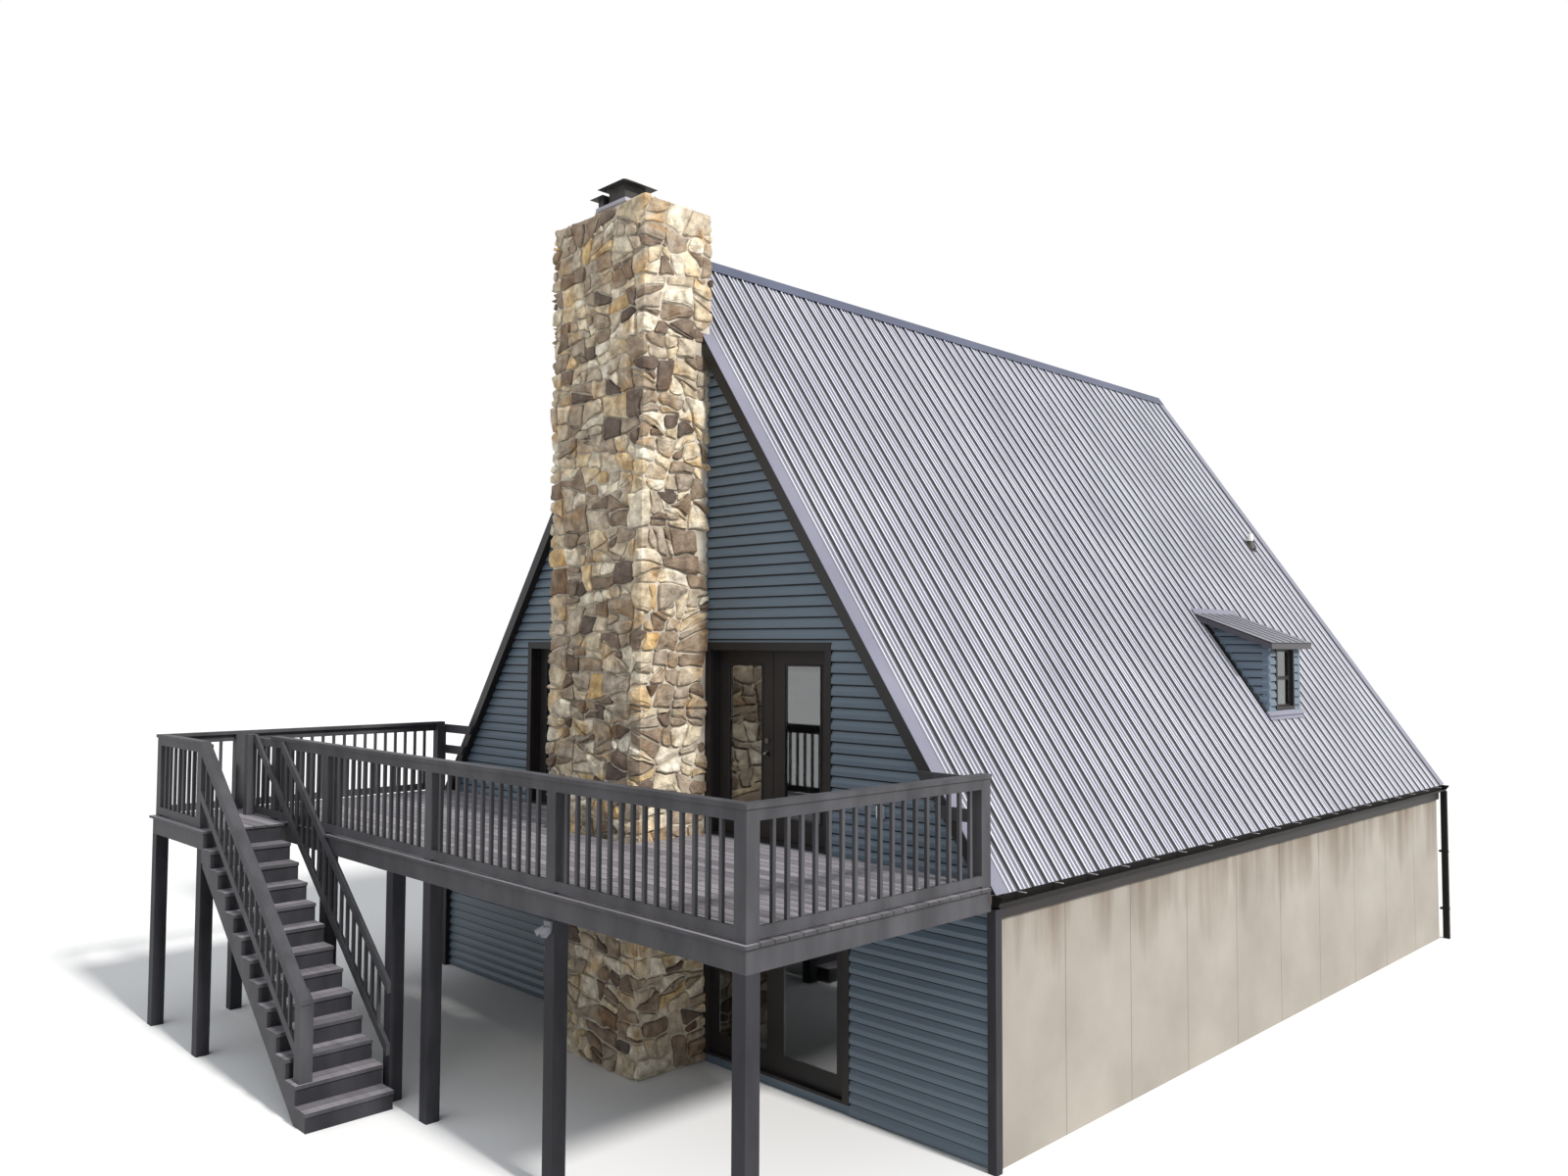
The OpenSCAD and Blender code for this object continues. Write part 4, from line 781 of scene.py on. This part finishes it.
# %% [markdown]
# ## Walls and courses
# Each wall's cladding is drawn flat, with X to the right and Y up, and a matrix stands it on its
# wall. That is simpler than turning an object, and one drawing serves every wall.

# %% Frame of a wall seen from outside
def wall_frame(origin, right, out):
    """Matrix for a wall seen from outside: X to the right, Y up, Z out of the wall."""
    matrix = Matrix((Vector(right), Vector((0, 0, 1)), Vector(out))).transposed().to_4x4()
    matrix.translation = origin
    return matrix


front_frame = wall_frame((0, FRONT_Y, 0), (1, 0, 0), (0, -1, 0))
rear_frame = wall_frame((0, REAR_Y, 0), (-1, 0, 0), (0, 1, 0))
print("walls at", [round(wall.translation.y, 3) for wall in (front_frame, rear_frame)])

# %% [markdown]
# ## Lap siding
# Each course is a long board with a flat face, and over it a cove that leans back under the next
# course, where a recess is always in shadow. One small outline is drawn, extruded along the wall
# and repeated up the gable, and the recess and the course's thin top and underside get a near-black
# painted shade. The ends run in under the rake trims and the casings, so they need no cutting to
# the slope.

# %% Extrude one course of siding
COURSE = 0.114
COURSE_OUTLINE = [(0.000, 0.114), (0.003, 0.114), (0.003, 0.100), (0.006, 0.097), (0.016, 0.072),
                  (0.024, 0.053), (0.027, 0.045), (0.027, 0.000), (0.000, 0.000)]
RECESS_DEPTH = 0.0085
SHORTEST_BOARD = 0.02


def siding_course(bm, matrix, x0, x1, z, height=COURSE):
    """One course between two places along a wall whose frame has X right, Y up and Z outwards."""
    if x1 - x0 < SHORTEST_BOARD:
        return
    verts = [bm.verts.new((x0, z + v * height / COURSE, w)) for w, v in COURSE_OUTLINE]
    face = bm.faces.new(verts)
    made = bmesh.ops.extrude_face_region(bm, geom=[face])["geom"]
    moved = [v for v in made if isinstance(v, bmesh.types.BMVert)]
    bmesh.ops.translate(bm, vec=(x1 - x0, 0, 0), verts=moved)
    # Faces in the recess, and the course's thin top and its underside, get the near-black painted
    # shade.
    for side in {f for v in verts for f in v.link_faces}:
        deep = max(v.co.z for v in side.verts) < RECESS_DEPTH
        side.material_index = 1 if deep or abs(side.normal.y) > 0.9 else 0
    bmesh.ops.transform(bm, matrix=matrix, verts=verts + moved)


def gaps_between(low, high, blocked):
    """The stretches from low to high that the blocked stretches leave free."""
    free, start = [], low
    for a, b in sorted(blocked):
        if a > start:
            free.append((start, min(a, high)))
        start = max(start, b)
    if start < high:
        free.append((start, high))
    return [(a, b) for a, b in free if b > a]


def side_wall(bm, matrix, z0, z1, reach, blocks):
    """Courses from z0 to z1; reach gives the half width, blocks the stretches taken at a height."""
    count = round((z1 - z0) / COURSE)
    for i in range(count):
        z = z0 + i * COURSE
        half = reach(z + COURSE / 2)
        for a, b in gaps_between(-half, half, blocks(z)):
            siding_course(bm, matrix, a, b, z)


print("courses of", COURSE, "m, standing out by", max(w for w, v in COURSE_OUTLINE), "m")

# %% [markdown]
# ## Where the courses stop
# A course stops at a door's casing, at a window and at the chimney, and it ends in under the trims.
# Cutting holes into a finished wall would work too, but it is simpler to ask at each height which
# stretches are taken and to lay boards between them.

# %% Clad the front gable, the rear gable and the basement wall
DOOR_CASING = (0.846, 2.764)
BASEMENT_CASING = (0.846, 3.014)
BASEMENT_HEAD = 2.06
CASING_TOP = 4.54
TRIM_DEPTH = 0.09
WALL_REACH = 4.735
GABLE_TOP = RIDGE_Z - 0.2
REAR_FOOT = FLOOR_Z - 0.28
BASEMENT_FOOT, BASEMENT_TOP = 0.02, 2.27
CASING_LAP = 0.02
REAR_WINDOWS = [(-1.5, 3.345, 0.9, 1.3), (1.5, 3.345, 0.9, 1.3), (0.0, 5.795, 0.9, 1.1)]


def gable_reach(z):
    return layer_x(TRIM_DEPTH, z)


def front_blocks(z):
    taken = [(-STACK_HALF, STACK_HALF)]
    if z < CASING_TOP:
        taken += [DOOR_CASING, (-DOOR_CASING[1], -DOOR_CASING[0])]
    return taken


def basement_blocks(z):
    taken = [(-STACK_HALF, STACK_HALF)]
    if z < BASEMENT_HEAD:
        taken.append(BASEMENT_CASING)
    return taken


def rear_blocks(z):
    return [(x - w / 2 - CASING_LAP, x + w / 2 + CASING_LAP) for x, foot, w, h in REAR_WINDOWS
            if z + COURSE > foot - CASING_LAP and z < foot + h + CASING_LAP]


WALLS = (
    ("front_siding", front_frame, FLOOR_Z, GABLE_TOP, gable_reach, front_blocks),
    ("rear_siding", rear_frame, REAR_FOOT, GABLE_TOP,
     lambda z: min(WALL_REACH, gable_reach(z)), rear_blocks),
    ("basement_siding", front_frame, BASEMENT_FOOT, BASEMENT_TOP,
     lambda z: WALL_REACH, basement_blocks))
for name, wall, foot, top, reach, blocks in WALLS:
    clad = bmesh.new()
    side_wall(clad, wall, foot, top, reach, blocks)
    finish_piece(clad, name, (siding_paint, recess_painted_shade))

# %% [markdown]
# ## Bands on the front wall
# The floor's edge is covered behind the deck's ledger, so no raw wood shows, and a dark corner trim
# closes the siding against the concrete beside each wall post. Both are flat strips, so boxes with
# a small bevel are enough.

# %% Cover the floor's edge and trim the corners
BAND_FOOT = 2.196
BAND_ENDS = (0.846, 4.62)
CORNER_TOP = 2.19
CORNER_OUTSIDE = 4.752
bands = bmesh.new()
for near, far in (BAND_ENDS, (-BAND_ENDS[1], -BAND_ENDS[0])):
    box(bands, (near, FRONT_Y - 0.012, BAND_FOOT), (far, FRONT_Y - 0.001, FLOOR_Z))
finish_piece(bands, "floor_edge_band", siding_paint)
bands = bmesh.new()
for side in (-1, 1):
    for inside, out, back in ((4.690, 0.026, -0.002), (4.741, 0.002, 0.070)):
        near, far = sorted((side * inside, side * CORNER_OUTSIDE))
        box(bands, (near, FRONT_Y - out, 0.0), (far, FRONT_Y + back, CORNER_TOP), 0.003)
finish_piece(bands, "wall_corner_trims", bronze_paint)

# %% [markdown]
# ## Siding on the dormer
# The dormer's cheeks are triangles between two roofs. The courses start at the front corner and run
# back into the main roofing, which hides their ends. At the face they stop at the window's casing,
# and corner boards cover the ends where cheek and face meet.

# %% Clad the dormer's cheeks and face
DORMER_Y = (1.60, 2.62)
DORMER_UNDER = 4.615
DORMER_BACK = 2.9
DORMER_WINDOW = (1.82, 2.40)
DORMER_SILL = 3.71
CHEEK_COURSE = 0.115
CHEEK_FOOT, CHEEK_TOP, FACE_FOOT = 3.60, 5.0, 3.66
clad = bmesh.new()
cheeks = [wall_frame((0, DORMER_Y[0], 0), (1, 0, 0), (0, -1, 0)),
          wall_frame((0, DORMER_Y[1], 0), (-1, 0, 0), (0, 1, 0))]
z = CHEEK_FOOT
while z < CHEEK_TOP:
    back = max(DORMER_BACK, layer_x(0.0, z))
    front = min(DORMER_FACE, DORMER_FACE - (z - DORMER_UNDER + 0.02) / DORMER_TAN)
    siding_course(clad, cheeks[0], back, front, z, CHEEK_COURSE)
    siding_course(clad, cheeks[1], -front, -back, z, CHEEK_COURSE)
    z += CHEEK_COURSE
face_frame = wall_frame((DORMER_FACE, 0, 0), (0, 1, 0), (1, 0, 0))
casing = (DORMER_WINDOW[0] - CASING_LAP, DORMER_WINDOW[1] + CASING_LAP)
z = FACE_FOOT
while z < DORMER_UNDER:
    height = min(CHEEK_COURSE, DORMER_UNDER - z)
    for a, b in gaps_between(*DORMER_Y, [casing] if z + height > DORMER_SILL else []):
        siding_course(clad, face_frame, a, b, z, height)
    z += CHEEK_COURSE
finish_piece(clad, "dormer_siding", (siding_paint, recess_painted_shade))
corner = bmesh.new()
for y, out in ((DORMER_Y[0], -1), (DORMER_Y[1], 1)):
    near, far = sorted((y + out * 0.018, y - out * 0.055))
    box(corner, (DORMER_FACE - 0.075, near, 3.62), (DORMER_FACE + 0.018, far, DORMER_UNDER), 0.003)
finish_piece(corner, "dormer_corner_boards", siding_paint)

# %% [markdown]
# ## Flashing round the dormer
# Where a dormer breaks through a roof, folded strips lead the water round it: an apron under its
# face, strips along its cheeks, and a cover over the top of its roof. They are thin boxes laid in
# the slope's own frame, so they lie flat on the rib tops.

# %% Fold the dormer's flashing
DORMER_ROOF_BACK = 2.962
slope = slope_frame(1)


def up_slope(x):
    """Distance up the roof to a distance from the ridge line."""
    return (HALF_WIDTH - x) / math.cos(SLOPE)


face_up, back_up = up_slope(DORMER_FACE), up_slope(DORMER_ROOF_BACK)
flashing = bmesh.new()
box(flashing, (face_up - 0.050, -DORMER_Y[1] - 0.07, 0.002),
    (face_up + 0.03, -DORMER_Y[0] + 0.07, 0.040), 0.006, matrix=slope)
box(flashing, (face_up - 0.10, -DORMER_Y[1] - 0.05, 0.001),
    (face_up - 0.04, -DORMER_Y[0] + 0.05, 0.008), 0.002, matrix=slope)
box(flashing, (back_up - 0.010, -DORMER_CENTRE - 0.68, 0.001),
    (back_up + 0.080, -DORMER_CENTRE + 0.68, 0.009), 0.002, matrix=slope)
finish_piece(flashing, "dormer_flashing", trim_metal)
flashing = bmesh.new()
for near, far in ((-DORMER_Y[0], -DORMER_Y[0] + 0.055), (-DORMER_Y[1] - 0.055, -DORMER_Y[1])):
    box(flashing, (face_up, near, 0.001), (up_slope(3.0), far, 0.012), 0.002, matrix=slope)
finish_piece(flashing, "dormer_side_flashing", bronze_paint)

# %% [markdown]
# ## Small ribs on the roofing
# Between its tall ribs, a roofing sheet has two low stiffening ribs, which give a metal roof its
# fine stripes. They could be a bump in the finish, but they catch light along the eave and the
# rake. A rib is a box squeezed at its top, with few faces, as there are many.

# %% Lay the low ribs
ROOF_END = SLOPE_LENGTH - 0.07
DORMER_REACH = (up_slope(DORMER_FACE), up_slope(2.96))
DORMER_CLEAR = 0.02
LOW_RIB_SHARES = (0.36, 0.64)
LOW_RIB_WIDTH, LOW_RIB_HEIGHT, LOW_RIB_TOP = 0.024, 0.009, 0.45
LOW_RIB_LEVEL = 0.004 - RIB_HEIGHT


def free_lengths(side, y, margin):
    """Stretches up the slope at a place along the ridge that the dormer leaves free."""
    if side > 0 and DORMER_Y[0] - margin < y < DORMER_Y[1] + margin:
        return [(0.0, DORMER_REACH[0] - DORMER_CLEAR), (DORMER_REACH[1] + DORMER_CLEAR, ROOF_END)]
    return [(0.0, ROOF_END)]


for side, name in ((1, "low_ribs_right"), (-1, "low_ribs_left")):
    ribs = bmesh.new()
    slope = slope_frame(side)
    for i in range(RIB_COUNT):
        for share in LOW_RIB_SHARES:
            y = FIRST_RIB + (i + share) * RIB_PITCH
            for start, end in free_lengths(side, y, 0.01):
                made = bmesh.ops.create_cube(ribs, size=1.0)["verts"]
                top = [v for v in made if v.co.z > 0]
                bmesh.ops.scale(ribs, vec=(1, LOW_RIB_TOP, 1), verts=top)
                bmesh.ops.scale(ribs, vec=(end - start, LOW_RIB_WIDTH, LOW_RIB_HEIGHT), verts=made)
                bmesh.ops.translate(ribs, vec=((start + end) / 2, -side * y, LOW_RIB_LEVEL),
                                    verts=made)
                bmesh.ops.transform(ribs, matrix=slope, verts=made)
    finish_piece(ribs, name, roof_metal)

# %% [markdown]
# ## Roofing screws
# Rows of screws with washers hold the sheets down beside every tall rib. A real screw has a head of
# six sides on a round washer; at the size of a house, one short cone of six sides does for both.

# %% Drive the roofing screws
SCREW_ROWS = 7
FIRST_ROW = 0.10
ROW_MARGIN = 0.35
SCREW_SIDE = 0.048
SCREW_LEVEL = 0.0035 - RIB_HEIGHT
for side, name in ((1, "roof_screws_right"), (-1, "roof_screws_left")):
    screws = bmesh.new()
    slope = slope_frame(side)
    for row in range(SCREW_ROWS):
        s = FIRST_ROW + row * (ROOF_END - ROW_MARGIN) / (SCREW_ROWS - 1)
        for i in range(RIB_COUNT):
            y = FIRST_RIB + i * RIB_PITCH + SCREW_SIDE
            if not any(a <= s <= b for a, b in free_lengths(side, y, 0.05)):
                continue
            place = slope @ Matrix.Translation((s, -side * y, SCREW_LEVEL))
            bmesh.ops.create_cone(screws, cap_ends=True, segments=6, radius1=0.007, radius2=0.004,
                                  depth=0.006, matrix=place)
    finish_piece(screws, name, roof_metal)

# %% [markdown]
# ## Deck planks
# The deck is laid with planks along the house, with a narrow gap between rows and butt joints over
# the joists. Lines painted on a slab would show no gaps from the side, so each plank is a bevelled
# box with its own tone. They stand for the plain slabs, which stay in the simulation.

# %% Saw and stain the planks
PLANK = 0.140
PLANK_GAP = 0.006
PLANK_BEVEL = 0.003
BUTT_GAP = 0.003
DECK_BOTTOM = 2.467
JOISTS = [-4.776 + 0.6368 * i for i in range(16)]
LONGEST_ROW = 4.9
PLANK_LENGTHS = (2.4, 4.88)
SHORTEST_END = 1.2
planks = toned_bmesh()
wood_rng = random.Random(5)


def plank_row(x0, x1, y0, y1):
    """One row of planks, cut over a joist where it is longer than a plank is sold."""
    cuts = [x0]
    while x1 - cuts[-1] > LONGEST_ROW:
        first = cuts[-1] + PLANK_LENGTHS[0]
        last = min(cuts[-1] + PLANK_LENGTHS[1], x1 - SHORTEST_END)
        cuts.append(wood_rng.choice([joist for joist in JOISTS if first < joist < last]))
    cuts.append(x1)
    for a, b in zip(cuts, cuts[1:]):
        end = b if b == x1 else b - BUTT_GAP
        box(planks, (a, y0, DECK_BOTTOM), (end, y1, FLOOR_Z), PLANK_BEVEL, wood_rng.random())


def shade_plank_sides(bm):
    """Paint shade on the planks' edges and ends with the rails' dark stain; the tops keep the
    plank's tone.
    """
    bm.normal_update()
    # Every face that does not look up gets the dark stain as painted shade.
    for face in bm.faces:
        face.material_index = 0 if face.normal.z > 0.9 else 1


print("planks", PLANK, "m wide over", len(JOISTS), "joists")

# %% [markdown]
# ## The deck and its landing
# The rows start at the deck's front edge. They leave out the corner where the landing joins, go
# round the chimney, stop short of the roof's edge beside the house, and end before the siding. The
# landing's own rows come last.

# %% Lay the deck and the landing
DECK_HALF = 4.83
DECK_FRONT = -9.105
RIM_FRONT = -9.07
WALL_SIDE = -6.027
LANDING_FRONT = -10.02
LANDING_END = -3.06
LANDING_JOIN = (-1.97, -1.965)
CHIMNEY_SIDE = 0.848
ROOF_EDGE_Y, BESIDE_ROOF = -6.153, 4.605
y = DECK_FRONT
while y < WALL_SIDE - 0.003:
    y1 = min(y + PLANK, WALL_SIDE)
    if y < RIM_FRONT:
        plank_row(-DECK_HALF, LANDING_JOIN[0], RIM_FRONT + 0.004, y1)
        plank_row(LANDING_JOIN[1], DECK_HALF, y, y1)
    elif y1 < STACK_FRONT - 0.006:
        plank_row(-DECK_HALF, DECK_HALF, y, y1)
    else:
        half = DECK_HALF if y1 < ROOF_EDGE_Y else BESIDE_ROOF
        plank_row(-half, -CHIMNEY_SIDE, y, y1)
        plank_row(CHIMNEY_SIDE, half, y, y1)
    y += PLANK + PLANK_GAP
y = LANDING_FRONT
while y < RIM_FRONT - 0.02:
    plank_row(-DECK_HALF, LANDING_END, y, min(y + PLANK, RIM_FRONT))
    y += PLANK + PLANK_GAP
shade_plank_sides(planks)
finish_piece(planks, "deck_planks", (deck_plank, rail_stain),
             replaces=["deck_boards"])

# %% [markdown]
# ## Treads of two boards
# Each step carries two boards with a gap that lets the rain through. One box per board, at the
# heights of the thirteen rises, replaces the plain slab on each notch of the stringers.

# %% Lay two boards on each step
STAIR_TOP = -3.085
STAIR_SIDES = (-10.0, -9.113)
GOING = 0.236
RISES = 13
RISER = FLOOR_Z / RISES
TREAD_THICKNESS = 0.038
TREAD_BOARDS = ((0.0, 0.128), (0.133, 0.261))
planks = toned_bmesh()
for k in range(1, RISES):
    top = FLOOR_Z - round(k * RISER, 3)
    back = STAIR_TOP + (k - 1) * GOING
    for a, b in TREAD_BOARDS:
        box(planks, (back + a, STAIR_SIDES[0], top - TREAD_THICKNESS),
            (back + b, STAIR_SIDES[1], top), PLANK_BEVEL, wood_rng.random())
shade_plank_sides(planks)
finish_piece(planks, "tread_boards", (deck_plank, rail_stain),
             replaces=["stair_treads"])

# %% [markdown]
# ## Door beads
# A glazed door holds its pane with a moulded bead on each face, which catches a thin line of light.
# A bead could be a frame inset from a box. Four bevelled sticks make the same frame with plain
# joints, as on a real door, and each frame rides on its own leaf, so it swings with the door.

# %% Bead the door leaves
LEAF_FRONT = -5.890
LEAF_BACK = -5.845
LEAF_FOOT = 2.526
PANE_WIDTH = 0.510
PANE_Z = (LEAF_FOOT + 0.240, LEAF_FOOT + 2.0 - 0.155)
BEAD = 0.022
BEAD_PROUD, BEAD_SUNK = 0.010, 0.004
LEAVES = {"right_inner": 1.114, "right_outer": 1.986, "left_inner": -1.624, "left_outer": -2.496}


def bead_frame(bm, x0, x1, z0, z1, y0, y1):
    """Two uprights over the full height, and two rails between them."""
    for low, high in (((x0 - BEAD, z0 - BEAD), (x0, z1 + BEAD)),
                      ((x1, z0 - BEAD), (x1 + BEAD, z1 + BEAD)),
                      ((x0, z0 - BEAD), (x1, z0)), ((x0, z1), (x1, z1 + BEAD))):
        box(bm, (low[0], y0, low[1]), (high[0], y1, high[1]), 0.004)


for leaf, x0 in LEAVES.items():
    bead = bmesh.new()
    for y0, y1 in ((LEAF_FRONT - BEAD_PROUD, LEAF_FRONT + BEAD_SUNK),
                   (LEAF_BACK - BEAD_SUNK, LEAF_BACK + BEAD_PROUD)):
        bead_frame(bead, x0, x0 + PANE_WIDTH, *PANE_Z, y0, y1)
    finish_piece(bead, leaf + "_bead", bronze_paint, body=leaf + "_leaf")

# %% [markdown]
# ## An outlet's cover
# A white cover beside the doors is small, but its absence would show on a dark wall. It is a base
# with a lid, two boxes with soft edges.

# %% Add the outlet's cover
cover = bmesh.new()
box(cover, (3.385, FRONT_Y - 0.058, 2.925), (3.465, FRONT_Y - 0.012, 3.050), 0.006)
box(cover, (3.393, FRONT_Y - 0.066, 2.935), (3.457, FRONT_Y - 0.055, 3.040), 0.004)
finish_piece(cover, "outlet_cover", white_plastic)

# %% [markdown]
# ## Straps and bands of the gutters
# Straps cross a gutter to keep it from spreading, and two bands hold each downspout to the wall.
# They repeat at even steps, so a loop over both sides of the house lays them all.

# %% Strap the gutters and band the downspouts
STRAP_COUNT, FIRST_STRAP, STRAP_STEP = 20, -5.75, 0.605
STRAP_HALF = 0.012
STRAP_REACH = (4.777, 4.889)
STRAP_Z = (2.400, 2.404)
BAND_REACH = (4.739, 4.873)
BAND_Y = (6.050, 6.114)
straps = bmesh.new()
bands = bmesh.new()
for side in (-1, 1):
    near, far = sorted(side * x for x in STRAP_REACH)
    for i in range(STRAP_COUNT):
        y = FIRST_STRAP + i * STRAP_STEP
        box(straps, (near, y - STRAP_HALF, STRAP_Z[0]), (far, y + STRAP_HALF, STRAP_Z[1]))
    near, far = sorted(side * x for x in BAND_REACH)
    for z in (0.45, 1.35):
        box(bands, (near, BAND_Y[0], z), (far, BAND_Y[1], z + 0.030), 0.002)
finish_piece(straps, "gutter_straps", plate_zinc)
finish_piece(bands, "downspout_bands", gutter_paint)

# %% [markdown]
# ## The vent's boot
# A rubber boot with a flange keeps rain out where the vent pipe comes through. The flange lies in
# the slope's frame and the cone stands upright on it, as the pipe does.

# %% Fit the vent's boot
VENT = (2.083, 5.335)
VENT_Z = RIDGE_Z - VENT[0] * math.tan(SLOPE)
up = up_slope(VENT[0])
boot = bmesh.new()
box(boot, (up - 0.12, -VENT[1] - 0.11, -0.016), (up + 0.12, -VENT[1] + 0.11, 0.004), 0.006,
    matrix=slope_frame(1))
bmesh.ops.create_cone(boot, cap_ends=True, segments=40, radius1=0.098, radius2=0.050, depth=0.13,
                      matrix=Matrix.Translation((*VENT, VENT_Z + 0.02)))
finish_piece(boot, "vent_boot", cap_black)

# %% [markdown]
# ## Camera
# The camera stands where the photograph was taken: in front of the house, to its right, about
# level with the doors' heads. Its heading, pitch and roll turn three axes into its matrix, which
# keeps the upright lines of the house as the photograph has them.

# %% Place the camera
CAMERA_PLACE = Vector((10.969, -14.838, 4.595))
HEADING, PITCH, ROLL = (math.radians(a) for a in (-45.21, 2.74, 0.234))
FOCAL_PIXELS, IMAGE_WIDTH = 1215.56, 1600
FAR_END = 500
ahead = Vector((math.sin(HEADING) * math.cos(PITCH), math.cos(HEADING) * math.cos(PITCH),
                math.sin(PITCH)))
level = Vector((math.cos(HEADING), -math.sin(HEADING), 0))
above = level.cross(ahead)
right = math.cos(ROLL) * level + math.sin(ROLL) * above
upward = math.cos(ROLL) * above - math.sin(ROLL) * level
turn = Matrix((right, upward, -ahead)).transposed().to_4x4()
lens = bpy.data.cameras.new("camera")
lens.sensor_width = 36.0
lens.lens = FOCAL_PIXELS / IMAGE_WIDTH * lens.sensor_width
lens.clip_end = FAR_END
camera = bpy.data.objects.new("camera", lens)
bpy.context.scene.collection.objects.link(camera)
camera.matrix_world = Matrix.Translation(CAMERA_PLACE) @ turn
bpy.context.scene.camera = camera
print("focal length", round(lens.lens, 2), "mm")

# %% [markdown]
# ## Floor
# A pale floor without gloss takes the shadow of the house and shows where it stands. It is one
# large square on no body, so that it isn't a piece of the object.

# %% Lay the floor
FLOOR_REACH = 150
FLOOR_WHITE = (0.88, 0.88, 0.88, 1)
floor = bmesh.new()
bmesh.ops.create_grid(floor, x_segments=1, y_segments=1, size=FLOOR_REACH)
floor_mesh = bpy.data.meshes.new("floor")
floor.to_mesh(floor_mesh)
floor.free()
floor_material, _, floor_shader = new_material("floor_white", specular=0.0)
floor_shader.inputs["Base Color"].default_value = FLOOR_WHITE
floor_shader.inputs["Roughness"].default_value = 1.0
floor_mesh.materials.append(floor_material)
floor_object = bpy.data.objects.new("floor", floor_mesh)
bpy.context.scene.collection.objects.link(floor_object)
print("floor", 2 * FLOOR_REACH, "m square")

# %% [markdown]
# ## Soft light all round
# The world is an even soft light, too dim to show as white. Rays that look straight at it, or see
# it in gloss or through glass, find plain white instead, so that the background is white and the
# panes and the metal mirror it, with no more light on the house.

# %% Light the world
SOFT_STRENGTH = 0.38
world = bpy.data.worlds.new("studio")
bpy.context.scene.world = world
world.use_nodes = True
studio = world.node_tree
studio.nodes.clear()
rays = node(studio, "ShaderNodeLightPath")
seen = add_math(studio, "MAXIMUM", rays.outputs["Is Camera Ray"], rays.outputs["Is Glossy Ray"])
seen = add_math(studio, "MAXIMUM", seen, rays.outputs["Is Transmission Ray"])
soft = node(studio, "ShaderNodeBackground", Color=(0.97, 0.985, 1.0, 1), Strength=SOFT_STRENGTH)
white = node(studio, "ShaderNodeBackground", Color=(1, 1, 1, 1), Strength=1.0)
choice = node(studio, "ShaderNodeMixShader")
out = node(studio, "ShaderNodeOutputWorld")
studio.links.new(seen, choice.inputs[0])
studio.links.new(soft.outputs[0], choice.inputs[1])
studio.links.new(white.outputs[0], choice.inputs[2])
studio.links.new(choice.outputs[0], out.inputs["Surface"])
print("world", world.name, "strength", SOFT_STRENGTH)

# %% [markdown]
# ## Two suns
# One sun from the right models the stones and the ribs. A second, very broad and faint, comes from
# above and in front and lifts the shaded sides, as open air does. Suns light a whole house evenly,
# where lamps would fall off over its length.

# %% Hang the two suns
def add_sun(name, energy, angle, colour, towards):
    """A sun that stands in a direction; its angle in degrees makes its shadows soft."""
    sun = bpy.data.lights.new(name, "SUN")
    sun.energy = energy
    sun.angle = math.radians(angle)
    sun.color = colour
    sun_object = bpy.data.objects.new(name, sun)
    bpy.context.scene.collection.objects.link(sun_object)
    sun_object.matrix_world = Vector(towards).to_track_quat("Z", "Y").to_matrix().to_4x4()


add_sun("sun", 3.8, 6, (1.0, 0.975, 0.94), (0.80, -0.01, 0.60))
add_sun("sky_fill", 0.9, 70, (0.90, 0.95, 1.0), (0.15, -0.55, 0.85))

# %% [markdown]
# ## The view transform
# The view transform is plain, so a colour shows as it was mixed.

# %% Set the view transform
bpy.context.scene.view_settings.view_transform = "Standard"
